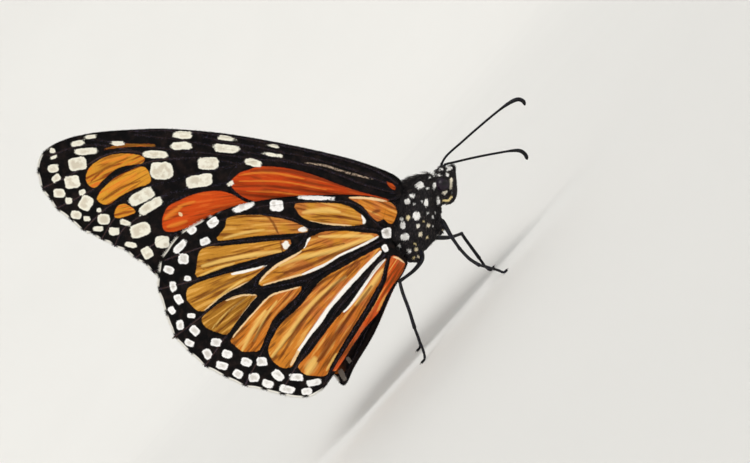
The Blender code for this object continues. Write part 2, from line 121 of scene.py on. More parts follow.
# Each vein is its radius at the start and the end, then its route.
FOREWING_VEINS = [
    (0.3, 0.14, [(0.2, 2.3), (4.1, 4.4), (11, 6.35), (21.9, 8.45), (30.8, 9.4), (37, 9.3)]),
    (0.22, 0.12, [(0.6, 1.9), (8.2, 4.7), (16.4, 6.6), (23.3, 7.8), (26.8, 8.6)]),
    (0.24, 0.13, [(0.6, 1.1), (4.4, 2), (8.2, 3.4), (12.3, 4.7), (18.5, 5.5), (22, 4.9)]),
    (0.14, 0.1, [(13.5, 4.9), (17.3, 5.9), (23.7, 7), (29.7, 8.1), (36.2, 8.9)]),
    (0.15, 0.1, [(18.5, 5.5), (23.8, 6.1), (29.7, 6.7), (35.6, 7.4), (42.2, 8.3)]),
    (0.14, 0.1, [(22, 4.9), (26, 5.7), (31, 5.6), (34.5, 5.1), (37.7, 3.8), (41.8, 1.5), (47, -1.2)]),
    (0.13, 0.1, [(31.5, 5.6), (37, 6.6), (40.5, 6), (42.7, 4.8), (45, 3.4), (48.9, 1.6)]),
    (0.13, 0.1, [(33.5, 5.9), (38.5, 7.1), (43.5, 7.4), (48, 6)]),
    (0.14, 0.1, [(22, 4.9), (26.7, 3.8), (30.8, 2.7), (34.2, 1.8), (39.7, -0.8), (43.4, -4.2)]),
    (0.12, 0.1, [(23.4, 2.3), (26.7, 1.8), (30.8, 1.1), (33.2, 0.2), (38.4, -1.9), (41, -5.5)]),
    (0.12, 0.1, [(20.8, 0), (25, 1), (28.8, 0.6), (32.9, -0.8), (37.7, -3.8), (39.2, -6.5)]),
    (0.12, 0.12, [(22, 4.9), (23.3, 3.4), (23, 1.6), (20.8, 0)]),
    (0.26, 0.15, [(0.6, 0.4), (6, -0.7), (13, -1.3), (18, -0.9), (20.8, 0)]),
    (0.15, 0.1, [(18, -0.9), (25, -3.1), (30.1, -4.5), (32.7, -5.4), (36.3, -8)]),
    (0.16, 0.1, [(13, -1.3), (21, -4.6), (28.5, -7.6), (33.9, -10)]),
    (0.2, 0.1, [(0.6, -0.1), (8, -3.5), (18, -8.1), (29.2, -12.5)]),
]
HINDWING_VEINS = [
    (0.15, 0.1, [(2.4, -2.5), (1.9, -0.9)]),
    (0.26, 0.12, [(1.8, -4), (3.4, -2.8), (5.2, -0.9), (7.6, -0.1), (14, -0.2), (20, -1)]),
    (0.26, 0.13, [(1.8, -4.1), (6.9, -3.6), (12.3, -3.9), (14.6, -2.5), (20.2, -2), (26, -3.1)]),
    (0.2, 0.12, [(12.4, -4.2), (14.4, -5), (18.9, -5.4), (24.6, -5.85), (28.5, -6.9), (32.1, -8.2)]),
    (0.22, 0.12, [(12.3, -3.9), (13.7, -6), (16.4, -7.4), (21.9, -9.3), (28.8, -11.2), (33, -12.2)]),
    (0.18, 0.16, [(17.6, -7.9), (19.2, -10), (19.9, -12.1)]),
    (0.28, 0.2, [(1.8, -5), (3.9, -6.1), (6.4, -7.5), (9.9, -9.4), (12, -10.6), (15.3, -11.5),
     (19.9, -12.1)]),
    (0.2, 0.12, [(19.9, -12.1), (24.7, -13.9), (27.5, -16.2), (31.2, -19)]),
    (0.2, 0.12, [(19.9, -12.1), (21.4, -15.1), (24, -18.9), (26.8, -22.9)]),
    (0.2, 0.12, [(12, -10.6), (14.3, -14.1), (16.7, -16.9), (18.5, -20.1), (21.2, -25.4)]),
    (0.28, 0.14, [(1.9, -7.1), (3.7, -9.4), (7.7, -13.9), (9.8, -16.7), (13.6, -21.9), (15.8, -25.6)]),
    (0.22, 0.12, [(1.5, -7.4), (2.1, -9.8), (3, -12.2), (4.2, -14.4), (7, -19), (10.4, -25.2)]),
]

# ---- patterns of the undersides

# Each patch is its place on the colour ramp, 0 olive to 1 red, and its outline on the black.
FOREWING_PATCHES = [
    (0.9, [(1.4, 0.1), (5.5, 1.2), (8.2, 2.1), (12.3, 3.6), (15.8, 4.4), (18.9, 4.6), (20.8, 4.1),
     (21.9, 3.7), (23.2, 2.4), (22.7, 1.4), (21, 0.2), (17.8, -0.6), (13, -0.9), (6, -0.3)]),
    (0.82, [(32.5, -3.9), (32.5, -2.4), (31.7, -0.9), (30, 0), (28.4, 0.7), (26.2, 1.2), (24.5, 1.2),
     (22.8, 0.7), (21.1, -0.3), (19.6, -0.8), (25.1, -2.8), (29.3, -3.9), (31, -4.4), (32.2, -4.3)]),
    (0.75, [(13.7, -1.5), (17.8, -1.5), (25.1, -3.4), (28.6, -4.3), (30.4, -5), (30.6, -6), (28.1, -7),
     (21, -4.2)]),
    (0.7, [(8.6, -3), (13, -1.8), (21, -4.9), (27.4, -7.7), (26.7, -10.4), (18.1, -7.4)]),
    (0.33, [(43, 3.4), (42.1, 4.8), (40.4, 5.8), (38.4, 6.3), (35.6, 6.1), (34.8, 5.5), (35.2, 5),
     (38.4, 4.4), (40.4, 2.9), (41.8, 1.6), (42.9, 2.3)]),
    (0.36, [(41.5, 0), (40.6, 1.6), (39, 3), (37, 4), (34.9, 4.5), (34.1, 2.5), (36.3, 1.5), (38.4, 0.4),
     (40, -0.7)]),
    (0.42, [(39.1, -2.5), (38.8, -1), (37.6, -0.6), (36.2, -1.6), (37.3, -2.2)]),
    (0.17, [(40.6, 6.8), (37.4, 7.2), (33.3, 7.3), (33.5, 7.6), (37.4, 7.65), (39.4, 7.3)]),
    (0.8, [(1.9, 2.7), (1, 2.3), (0.5, 1.7), (0.8, 1.5), (1.6, 2.1)]),
]
HINDWING_PATCHES = [
    (0.41, [(7, 0.5), (4.4, 0.6), (1.6, 0.2), (0.4, -0.7), (0.3, -1.6), (1, -3), (1.6, -2.9), (2.2, -2.3),
     (3, -2.7), (4, -1.9), (4.9, -0.8), (6.2, 0)]),
    (0.22, [(14.2, -0.4), (9.6, -0.3), (7.3, -0.6), (5.8, -1.4), (4.8, -2.2), (4.7, -3), (6.9, -3.4),
     (9.6, -3.3), (11.6, -2.9), (13.3, -2.3), (14, -1.4)]),
    (0.2, [(23.6, -2.5), (22.5, -2.1), (18.9, -2), (14.8, -2.8), (12.3, -4), (13.7, -4.4), (16.4, -4.6),
     (19.9, -4.9), (24.8, -5.5), (24.5, -4.5), (23.8, -3.6)]),
    (0.2, [(27.4, -7.1), (26.4, -6.4), (24, -6.2), (19.9, -5.8), (14.9, -5.3), (14.8, -5.9), (15.8, -6.9),
     (18.1, -7.5), (21.2, -8.4), (24, -9.2), (27.7, -10.5), (27.8, -9.3)]),
    (0.18, [(29, -12.1), (27.4, -11.2), (24, -10.1), (21.2, -9.5), (18.1, -8.8), (18.6, -9.3),
     (20.6, -11), (21.9, -11.8), (24, -12.9), (27, -15.2), (28.8, -14.1), (29.2, -13.2)]),
    (0.1, [(27.1, -16.2), (25.8, -14.9), (24, -13.7), (21.9, -12.9), (19.5, -12.9), (20, -13.6),
     (22.2, -16.4), (23.3, -18.1), (23.8, -18.5), (26.4, -17.5)]),
    (0.44, [(23.2, -19.2), (21.9, -17.4), (19.5, -14.7), (18.4, -13.5), (17.3, -12.7), (15.5, -12.2),
     (13.4, -11.7), (13.9, -12.8), (15.2, -14.1), (17.3, -16.2), (18.1, -17.9), (19.2, -20.5),
     (20.2, -20.7), (21.6, -20.7), (22.6, -19.9)]),
    (0.4, [(2.7, -6.3), (4.7, -7.3), (8.2, -9.3), (9.5, -10), (10.9, -11), (11.9, -12.2), (13.6, -14.4),
     (15.9, -16.5), (16.9, -17.9), (17.8, -19.6), (18, -20.8), (17.3, -22.1), (16.4, -22.8), (15.5, -23),
     (14.8, -22.8), (13.6, -20.6), (12.2, -18.5), (10.6, -16.5), (9, -14.2), (4.7, -9.4), (3, -7.6),
     (2.4, -6.8)]),
    (0.46, [(1.75, -7.7), (2.4, -8), (3.5, -9.2), (4.9, -11.3), (6.8, -14), (9.2, -16.7), (12.2, -20.7),
     (13.5, -22.1), (13.9, -22.8), (13.1, -23.7), (12.1, -23.9), (10.1, -23.9), (9.5, -22.7),
     (7.5, -19.1), (4.8, -14.7), (3.4, -12.2), (2.5, -10.6), (2.1, -8.9)]),
    (0.88, [(1.2, -7.5), (1.6, -9.5), (1.9, -10.9), (2.5, -12.2), (3.7, -14.5), (7.1, -19.9),
     (9.2, -23.3), (8.7, -23.3), (5.2, -17.9), (3, -15.3), (2, -13.2), (0.9, -11.4), (0.2, -10.5),
     (-0.5, -9.3), (-0.7, -8.4), (0, -7.7), (0.8, -7.3)]),
    (0.3, [(3, -4.45), (4.7, -4.3), (7.5, -4.1), (10.2, -4.2), (11.6, -4.7), (12.6, -5.2), (13.1, -6.5),
     (14.9, -7.6), (16.9, -8.7), (18.4, -10), (19.2, -11), (19.3, -11.5), (18.8, -11.7), (17, -11.2),
     (13.3, -10.2), (11.6, -9.6), (9.9, -8.7), (8.2, -7.6), (6.4, -6.8), (3.9, -5.5), (2.8, -4.8)]),
]
# Streaks by colour: frost lies on the black, the others in the patches. Light and dark are painted
# highlight and painted shade of the wing's folds, which they also raise and lower. Each is half its
# width and its route.
FOREWING_STREAKS = {
    "frost": [
        (0.16, [(13, 5.1), (10.2, 4.7), (7.7, 3.9), (3.7, 2.9)]),
    ],
    "cream": [
        (0.22, [(30.2, -1.8), (29.9, -2.2)]),
    ],
    "light": [
        (0.14, [(22, 2.6), (16, 2.5), (10, 1.4)]),
        (0.18, [(22, 3.4), (18, 3.8), (13, 2.9)]),
        (0.13, [(21, 1.2), (17, 1.1), (12.5, 0.5)]),
        (0.4, [(32.2, -2.6), (30, -1)]),
        (0.34, [(31.8, -3.7), (29.2, -2.9)]),
        (0.22, [(30.4, -0.9), (28, -0.2)]),
        (0.25, [(41, 5), (37.5, 5.9)]),
        (0.25, [(40, 1), (36, 3.6)]),
    ],
    "dark": [
        (0.2, [(23, 1.8), (18, 1.9), (12, 1.2), (6, 0.5)]),
        (0.25, [(22, 0.8), (17, 0.3), (11, 0)]),
        (0.28, [(20.4, 4), (15.8, 4), (12, 3.2), (7, 1.7)]),
        (0.18, [(42.4, 2.4), (40.4, 4.2), (38, 5)]),
        (0.18, [(40.8, -0.1), (38.2, 1.6), (35.5, 2.6)]),
    ],
}
HINDWING_STREAKS = {
    "white": [
        (0.26, [(5.1, -1.9), (4.7, -2.6), (4.9, -3)]),
        (0.3, [(13.7, -4), (12.5, -3.8)]),
        (0.5, [(15.5, -5.8), (15.6, -6.3)]),
        (0.22, [(12.3, -5.1), (12.8, -5.6), (13.1, -6.4)]),
        (0.2, [(2.9, -4.8), (4.7, -5.8), (6.5, -6.75), (8.3, -7.6), (10, -8.65), (13.3, -10.1)]),
        (0.34, [(2.6, -6.9), (4.8, -9.2), (6.8, -11.4), (9.2, -14.2), (10.9, -16.5), (13.7, -20.4)]),
        (0.27, [(2.1, -7.9), (3.4, -9.3), (4.8, -11.3), (6.7, -14), (7.6, -15)]),
        (0.19, [(18.1, -8.8), (20.6, -9.5), (23, -10.1)]),
    ],
    "cream": [
        (0.16, [(12.3, -2.8), (10.3, -3.2), (6.6, -3.4)]),
        (0.19, [(20.3, -11), (22.6, -12.2), (24.9, -13.7), (26.7, -15.1)]),
        (0.16, [(19.5, -12.9), (21.5, -12.9), (23.8, -13.7)]),
        (0.16, [(19.6, -13.3), (21.1, -15.2), (22.5, -17.1)]),
        (0.23, [(13.5, -6.9), (14.9, -7.7), (16.9, -8.8), (18.3, -10), (19.1, -11)]),
        (0.19, [(18.6, -11.6), (16, -10.9), (12.6, -9.9)]),
        (0.16, [(22.9, -18.8), (20.6, -16), (18.4, -13.6), (17.3, -12.8), (13.7, -11.8)]),
        (0.13, [(0.9, -7.5), (0.1, -7.75), (-0.6, -8.3)]),
        (0.2, [(6.8, 0.5), (4.4, 0.5), (1.8, 0.1)]),
        (0.22, [(12.9, -19.2), (14, -21), (14.9, -22.5)]),
    ],
    "light": [
        (0.36, [(16.4, -8.9), (13.7, -7.8), (10.3, -7.1), (6.9, -6), (3.6, -4.9)]),
        (0.27, [(11, -4.9), (7.5, -4.8), (3.8, -4.7)]),
        (0.36, [(27, -9), (24, -8.2), (19.9, -7.4), (16.2, -6.9)]),
        (0.21, [(27.4, -10.4), (24.9, -9.3), (22.6, -8.6)]),
        (0.36, [(17.5, -21.4), (15.1, -18.1), (12.3, -14.4), (9.6, -11.9), (7.4, -10.3)]),
        (0.34, [(21.6, -20.6), (20, -17.5), (18.4, -15.1)]),
        (0.41, [(2.3, -9.3), (4.1, -11.8), (6, -14.1)]),
        (0.75, [(12.6, -23.6), (11.6, -21.6)]),
        (0.22, [(10, -23.2), (8.6, -20.8)]),
        (0.2, [(20, -19.4), (18.4, -16), (16.8, -13.7)]),
        (0.2, [(15.8, -16.2), (12.4, -12.2), (9.4, -9.6)]),
        (0.18, [(25.6, -13.9), (23.4, -12.2), (21, -10.6)]),
        (0.36, [(13.2, -1.6), (10.6, -1.3), (8.2, -1.5)]),
        (0.21, [(24.1, -5.2), (21.2, -4.4), (18.5, -4)]),
        (0.14, [(25.8, -17.7), (23.6, -15.3), (21.1, -13.4)]),
    ],
    "dark": [
        (0.27, [(15.8, -9.9), (13, -9), (9.9, -7.8), (6.9, -6.6), (4.4, -5.5)]),
        (0.17, [(13.7, -7), (11, -6.6), (7.5, -5.8)]),
        (0.14, [(27, -9.5), (23.6, -8.5), (19.5, -7.7)]),
        (0.21, [(28.5, -14), (25.8, -12.6), (23, -11.1), (20.6, -10.1)]),
        (0.17, [(25.1, -17.4), (23, -14.9), (21, -13.3)]),
        (0.25, [(20.4, -20.2), (19.2, -17.9), (17.6, -15.4)]),
        (0.27, [(15.9, -20.8), (14, -17.5), (11.2, -14), (8.5, -11.2), (5.5, -8.5)]),
        (0.21, [(14.2, -14.4), (11.2, -11.6), (7.5, -9.3), (4.1, -7.4)]),
        (0.27, [(11.2, -21.9), (8.5, -18.1), (6, -14.5), (3.8, -11.5)]),
        (0.5, [(10.9, -21.6), (9.2, -19), (7.2, -16.2)]),
        (0.16, [(14.4, -21.6), (12.2, -17.8), (10, -15)]),
        (0.16, [(17.3, -9.9), (14.4, -9.6), (11.6, -8.7)]),
        (0.16, [(26.6, -8.2), (22.8, -7.5), (18.6, -6.6)]),
        (0.2, [(16.6, -21.9), (14.9, -19.2), (12.2, -15.3)]),
        (0.19, [(18.3, -1.9), (17.3, -3), (16.6, -4.5)]),
        (0.17, [(16.3, -5.3), (16, -7)]),
        (0.27, [(3.7, -1.5), (2.7, -1.2)]),
        (0.14, [(12.3, -2.3), (9.6, -2.1), (6.6, -2.3)]),
    ],
}
# Each spot is where its middle lies, its length and width, and its turn in degrees.
FOREWING_SPOTS = [
    (29.7, 8.9, 2.7, 1.1, 0), (29.9, 7.4, 3, 1.1, 0), (23.6, 8.4, 2.6, 0.7, 10), (23.8, 7, 3.6, 1.2, 6),
    (17.3, 7.4, 1.8, 0.5, 10), (17.5, 6.2, 2.7, 0.55, 8), (20, 5.1, 2.4, 1, 12), (33.4, 6.2, 3.6, 1.1, 0),
    (32.6, 4, 3.2, 2.4, 0), (26.2, 5, 3, 1.8, 0), (27.4, 2.6, 3.7, 1.8, -10), (23.2, 2.2, 1.1, 0.7, -30),
    (35.4, 0.4, 3.9, 1.7, -28), (34.2, -0.9, 3.8, 1.4, -32), (42.3, 8.6, 1.9, 0.6, -8),
    (44.1, 7.7, 2.3, 0.8, -8), (38.6, 7.7, 1.9, 0.7, 0), (42.9, 6.6, 3.4, 1, -5),
    (44.1, 4.9, 2.5, 1.9, -10), (44.9, 2.4, 2.15, 1.85, -10), (47.5, 6.7, 0.8, 0.8, 0),
    (47.4, 5.8, 1.1, 0.5, -20), (47.45, 4.3, 1.6, 1.15, -10), (47.1, 2.9, 1.4, 1, -40),
    (46.75, 0.85, 1.65, 1.2, 0), (45.4, -0.2, 1, 0.95, 0), (43.5, 1, 1, 0.85, -20),
    (43, -0.5, 2.1, 1.8, -60), (44.4, -2.1, 1.5, 1.1, 10), (42.9, -2.6, 1, 0.8, 0),
    (41.3, -1.4, 0.7, 0.7, 0), (40.6, -2.7, 1.7, 1.5, 0), (41.4, -4, 1.5, 0.8, 0),
    (39.2, -4.4, 1.5, 1.2, 0), (37.7, -3.2, 1.5, 0.8, 15), (35.6, -4.2, 2.9, 1.9, -20),
    (36.9, -6.2, 1.8, 0.8, 5), (34.7, -7.3, 1.7, 1.5, 60), (32.6, -5.8, 2.1, 1.7, 0),
    (31.2, -7.8, 1.6, 1.5, 0), (32.2, -10.2, 1.4, 1.1, 50), (29.6, -10.2, 1.5, 1.2, 0),
    (30.6, -12, 1.1, 0.9, 0), (27.2, -11.7, 1.2, 0.7, 20),
]
HINDWING_SPOTS = [
    (11.5, 0.4, 5.9, 0.62, 2), (16.8, -0.7, 1.9, 1.6, 0), (21.2, -0.8, 3.3, 1.1, -22),
    (25.5, -3, 1.7, 1.2, -40), (26.6, -5.6, 1.5, 1.1, -20), (28.4, -4, 1.4, 1.2, -40),
    (30, -6.3, 2.4, 1, -48), (29.6, -8, 1.5, 1.5, 0), (31.6, -9.5, 1.5, 1.1, 20),
    (29, -10.7, 0.95, 0.8, 0), (31, -11.8, 1.5, 0.95, 80), (30.3, -13.6, 1.5, 1.1, 62),
    (31.2, -15.1, 1.2, 0.95, 60), (28.5, -15.8, 1.2, 0.7, 0), (30.1, -17.1, 1.5, 1.1, 85),
    (28.1, -17.9, 1.5, 1.2, 45), (28.8, -19.6, 1.5, 0.95, 25), (25.2, -19.5, 1.5, 1.1, 5),
    (26.4, -21.1, 1.5, 1.2, 60), (23.7, -21.1, 1.5, 1.2, 20), (24.4, -22.7, 1.6, 1.1, 15),
    (21, -22.2, 1.6, 1.2, 20), (22.2, -23.8, 1.5, 1.2, 30), (18.9, -22.1, 1.5, 1.3, 0),
    (20, -24.3, 1.5, 1.3, 0), (18.1, -25.2, 1.6, 1.1, 20), (16.7, -24, 1.8, 1.3, 40),
    (15.5, -25.9, 2.3, 1.1, 10), (14.2, -24.2, 2, 1.1, 0), (12.7, -26.2, 1.6, 1, 0),
    (11.7, -24.9, 2, 1, -10), (1.8, -4.3, 1.5, 1.4, 80), (2, -6.4, 1.1, 0.8, 60),
]
LEFT_TAIL_SPOTS = [
    (10.3, -24.2, 1.7, 0.8, 65), (9.3, -22.2, 1.5, 0.6, 60),
]

# ---- markings and forms of the body

# Each mark is x and z of its middle, its size along and across the turn below, and how yellow it
# is, 0 to 1. Both sides of the body carry them.
MARK_TURN = math.radians(42)
BODY_MARKS = [
    (19.3, 15.5, 0.55, 0.6, 0), (18.2, 14.5, 0.95, 0.5, 0), (19.7, 14.9, 0.3, 0.65, 0),
    (20.5, 14.1, 0.6, 0.5, 0), (18.5, 12.8, 0.72, 0.7, 0.3), (17, 12.7, 1.25, 0.55, 0),
    (21.3, 14.5, 0.6, 0.8, 0), (20.5, 15.2, 0.35, 0.4, 0), (17, 16, 1, 1.2, 0), (17.4, 14.9, 0.3, 0.5, 0),
    (15.4, 15.9, 0.9, 1, 0), (14.2, 15.8, 0.9, 0.85, 0), (14.6, 14.9, 0.3, 0.42, 0),
    (15.6, 14.4, 0.35, 0.3, 0), (15.8, 13.8, 1.05, 0.65, 0), (14.9, 12.7, 0.4, 0.35, 0),
    (13.6, 13.6, 1.2, 1.05, 0), (15.7, 11.9, 0.65, 0.5, 0), (15, 11.8, 0.8, 0.42, 0),
    (12.7, 14.3, 0.7, 0.6, 0.8), (11.4, 14.1, 1.1, 0.75, 0), (11.9, 14.8, 0.5, 0.6, 0),
    (10.4, 12.8, 1.1, 1.2, 0), (12.7, 12.5, 0.65, 0.55, 0.2), (13.7, 12.4, 0.3, 0.3, 1),
    (13.7, 11.5, 0.72, 0.62, 0.5), (14, 10.9, 0.5, 0.32, 0), (12.1, 11.5, 0.72, 0.62, 0.5),
    (12.4, 10.4, 0.62, 0.7, 0.9), (8.8, 12.5, 0.9, 0.6, 0), (9.3, 11.1, 0.7, 0.8, 0),
    (10.1, 10.5, 0.7, 0.55, 0.7), (10.6, 11.1, 0.28, 0.48, 1), (10.4, 9.5, 0.7, 0.5, 0),
    (9.1, 10, 0.4, 0.35, 1), (14.3, 9.4, 0.7, 0.4, 0.8), (9.6, 9.6, 0.45, 0.4, 0.6),
    (14.9, 17.7, 0.6, 0.62, 0), (17.6, 17.1, 0.34, 0.62, 0), (18.6, 15.7, 0.4, 0.35, 0),
    (13.6, 17.2, 0.4, 0.32, 0),
]
# Stripes of the palps, in the face's own frame: half the width, the route and how yellow.
PALP_STRIPES = [
    (0.2, [(2.04, 0.05), (2.06, 1.3)], 0.4),
    (0.13, [(1.05, -1.6), (1.7, -1.62), (2.12, -1.1)], 1.0),
]
# Swellings under the skin: middle and size, and on the body the forward lean. Those of the head
# are in the face's own frame, and the pairs are on both sides.
HEAD_FORMS = [
    (HEAD_AT, HEAD_SIZE), ((1.35, 0, -1.2), (0.85, 0.85, 0.75)), ((0.5, 0, 1.85), (0.9, 1.05, 0.75)),
]
HEAD_PAIRS = [((1.85, 0.5, 2.5), (0.5, 0.5, 0.5)), ((0.75, 0.6, 2.5), (0.45, 0.42, 0.5))]
BODY_FORMS = [
    ((18, 0, 14), (1.0, 1.15, 1.9), 0.54), ((18.3, 0, 15.8), (0.75, 1.0, 0.75), 0),
    ((17.35, 0, 12.35), (0.6, 0.8, 0.7), 0), ((8.5, 0, 12.4), (1.1, 1.15, 1.45), 0),
    ((14.9, -1.35, 10.3), (0.75, 0.65, 1.1), 0.4), ((14.6, -0.2, 10.2), (0.7, 0.9, 0.75), 0.4),
    ((13.95, -0.2, 9.75), (0.7, 0.95, 0.6), 0.7), ((12.6, 1.45, 10.2), (0.75, 0.65, 1.1), -0.1),
]
BODY_PAIRS = [
    ((14.2, 2.3, 16.1), (1.3, 0.5, 0.85), 0.5), ((12.3, 2.35, 16.0), (1.3, 0.42, 0.9), -0.3),
    ((10.4, 2.1, 14.2), (1.5, 0.45, 1.6), 0.3), ((10.5, 1.25, 10.5), (0.85, 0.7, 1.0), 0.4),
    ((9.25, 1.0, 10.1), (1.1, 0.85, 0.85), 0.7), ((9.1, 0.9, 9.6), (0.95, 0.7, 0.65), 0.7),
    ((8.6, 0.9, 10.25), (0.7, 0.55, 0.85), 0),
]
# Seams across the thorax: x at mid height, lean and depth.
SUTURES = [(16.9, 0.35, 0.14), (13.9, -0.12, 0.1), (11.1, 0.1, 0.12)]
FORELEG = [(14.8, 0.85, 10.4), (15.65, 0.85, 11.25), (16.35, 0.8, 11.95), (17.1, 0.6, 12.5)]

MIDLEG_RIGHT = [
    (15.4, -1.7, 10.5), (14.75, -3.5, 8.4), (14.35, -5.2, 6.4), (14.3, -6.4, 4.65), (14.6, -7.3, 3.2),
    (15.3, -7.9, 2), (15.8, -8.3, 1.05), (16.15, -8.6, 0.25), (16.7, -8.9, 0.16),
]
MIDLEG_LEFT = [
    (12.5, 1.75, 9.8), (13.9, 3.9, 7.95), (15.35, 6.1, 6.85), (15.05, 6.65, 5.7), (14.7, 7.3, 4.15),
    (14.35, 7.9, 2.6), (14, 8.3, 1), (14.1, 8.6, 0.22), (14.8, 8.9, 0.16),
]
HINDLEG_RIGHT = [
    (10.3, -1.6, 9.9), (9.65, -2.7, 9.05), (7.95, -4.2, 8.95), (5.75, -6.1, 9.5), (4.9, -6.7, 8.15),
    (3.9, -7.3, 6.15), (2.65, -7.8, 4), (1.7, -8.1, 2.1), (1.05, -8.3, 0.85), (0.5, -8.45, 0.22),
    (-0.2, -8.6, 0.16),
]
HINDLEG_LEFT = [
    (10.3, 1.6, 9.9), (9.25, 2.7, 8.75), (7.2, 4.2, 8.45), (4.6, 6.1, 8.8), (3.6, 6.7, 7.3),
    (2.4, 7.3, 5.1), (1, 7.8, 2.8), (0.2, 8.1, 1.4), (-0.3, 8.3, 0.6), (-0.7, 8.45, 0.22),
    (-1.4, 8.6, 0.16),
]
ANTENNA_RIGHT = [
    (20.5, -0.5, 15.3), (21, -0.65, 15.7), (22.4, -0.9, 15.95), (25, -1.5, 15.7), (27.9, -2.2, 15.4),
    (31, -2.9, 15), (33.1, -3.4, 14.6), (34.3, -3.7, 14.1), (34.65, -3.8, 13.4), (34.4, -3.9, 12.8),
]
ANTENNA_LEFT = [
    (20.6, 0.5, 15.2), (21.25, 0.7, 15.2), (22.3, 1.2, 14.45), (23.9, 2.1, 13.3), (25.6, 3.1, 12),
    (27.2, 4.2, 10.7), (28.6, 5.2, 9.5), (29.35, 5.8, 8.6), (29.45, 6.2, 7.7), (29.1, 6.3, 7),
]
# Radii spread evenly along the thigh and the shin, and where the toes begin and end on the foot.
FEMUR_GIRTH = (0.26, 0.33, 0.32, 0.28, 0.24, 0.22, 0.26)
TIBIA_GIRTH = (0.22, 0.23, 0.23, 0.235, 0.24, 0.27)
TOE_ENDS = (0, 0.38, 0.58, 0.73, 0.85, 1.0)


# ---- lines and fields

def spline(points, spacing, closed=False):
    """Points about `spacing` apart on a smooth curve through the given points."""
    knots = np.array(points, float)
    count = len(knots)
    curve = []
    for i in range(count if closed else count - 1):
        near = [(i + k) % count if closed else min(max(i + k, 0), count - 1) for k in (-1, 0, 1, 2)]
        before, start, end, after = knots[near]
        steps = max(1, round(float(np.linalg.norm(end - start)) / spacing))
        t = (np.arange(steps) / steps)[:, None]
        pull = (end - before) * t + (2 * before - 5 * start + 4 * end - after) * t**2
        pull = pull + (3 * start - before - 3 * end + after) * t**3
        curve.append(start + pull / 2)
    if not closed:
        curve.append(knots[-1:])
    return np.concatenate(curve)


def line_distance(points, line, closed=False):
    """How far each point is from a line, and how far along the line it is nearest, 0 to 1."""
    starts = line if closed else line[:-1]
    ends = np.roll(line, -1, axis=0) if closed else line[1:]
    best = np.full(len(points), np.inf)
    place = np.zeros(len(points))
    for i, (start, end) in enumerate(zip(starts, ends)):
        along = end - start
        share = np.clip((points - start) @ along / max(along @ along, 1e-12), 0, 1)
        away = np.linalg.norm(points - start - share[:, None] * along, axis=1)
        nearer = away < best
        best[nearer] = away[nearer]
        place[nearer] = (i + share[nearer]) / len(starts)
    return best, place


def inside(points, outline):
    """True for each point within a closed outline."""
    crossings = np.zeros(len(points), int)
    for start, end in zip(outline, np.roll(outline, -1, axis=0)):
        spans = (start[1] > points[:, 1]) != (end[1] > points[:, 1])
        rise = end[1] - start[1]
        share = (points[:, 1] - start[1]) / (rise if abs(rise) > 1e-12 else 1e-12)
        crossings += spans & (points[:, 0] < start[0] + share * (end[0] - start[0]))
    return crossings % 2 == 1


def measured(outline):
    """The length of each step round an outline, and how far along each one starts."""
    lengths = np.linalg.norm(np.roll(outline, -1, axis=0) - outline, axis=1)
    return lengths, np.concatenate([[0], np.cumsum(lengths)])


def nearest(points, marks):
    """How far each point is from the nearest mark."""
    return np.linalg.norm(points[:, None] - marks[None], axis=2).min(1)


def smooth_step(values, low, high):
    t = np.clip((values - low) / (high - low), 0, 1)
    return t * t * (3 - 2 * t)


def turned(first, second, angle):
    """Two coordinates, read on axes that are turned by an angle."""
    c, s = math.cos(angle), math.sin(angle)
    return first * c + second * s, second * c - first * s


def unit(vectors):
    return vectors / np.maximum(np.linalg.norm(vectors, axis=-1, keepdims=True), 1e-9)


def oval_depth(u, v, length, width, power):
    """How deep each place is within an oval; a higher power squares its corners."""
    reach = (np.abs(2 * u / length) ** power + np.abs(2 * v / width) ** power) ** (1 / power)
    return (1 - reach) * min(length, width) / 2


# ---- shapes and pieces

class Shape:
    """Points and faces in millimetres that grow part by part."""

    def __init__(self):
        self.points, self.faces, self.count = [], [], 0

    def add(self, points, faces):
        self.faces += [[int(i) + self.count for i in face] for face in faces]
        self.points.append(np.asarray(points, float))
        self.count += len(points)

    def all_points(self):
        return np.concatenate(self.points)


def new_mesh(name, points, faces):
    mesh = bpy.data.meshes.new(name)
    mesh.from_pydata(np.asarray(points).tolist(), [], faces)
    mesh.shade_smooth()
    return mesh


def new_object(name, data):
    made = bpy.data.objects.new(name, data)
    bpy.context.scene.collection.objects.link(made)
    return made


def piece(name, points, faces, material, replaced=(), fields=None, uv=None):
    """Makes a named piece from millimetre points and rides it on the butterfly."""
    mesh = new_mesh(name, (np.asarray(points) + (STAND_X, 0, 0)) * MM, faces)
    for field, values in (fields or {}).items():
        vector = np.ndim(values) == 2
        made = mesh.attributes.new(field, "FLOAT_VECTOR" if vector else "FLOAT", "POINT")
        flat = np.ascontiguousarray(values, np.float32).ravel()
        made.data.foreach_set("vector" if vector else "value", flat)
    if uv is not None:
        corner = np.zeros(len(mesh.loops), np.int32)
        mesh.loops.foreach_get("vertex_index", corner)
        layer = mesh.uv_layers.new(name="OFBake")
        layer.uv.foreach_set("vector", uv[corner].astype(np.float32).ravel())
    mesh.materials.append(material)
    mesh.update()
    made = new_object(name, mesh)
    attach(made, "root")
    if replaced:
        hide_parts(*replaced)


def ring_faces(rows, sides, start=0, inward=False):
    """Faces between rings of points that follow one another."""
    faces = []
    for row in range(start, start + (rows - 1) * sides, sides):
        for k in range(sides):
            j = (k + 1) % sides
            a, b, c, d = row + k, row + j, row + sides + j, row + sides + k
            faces.append((a, d, c, b) if inward else (a, b, c, d))
    return faces


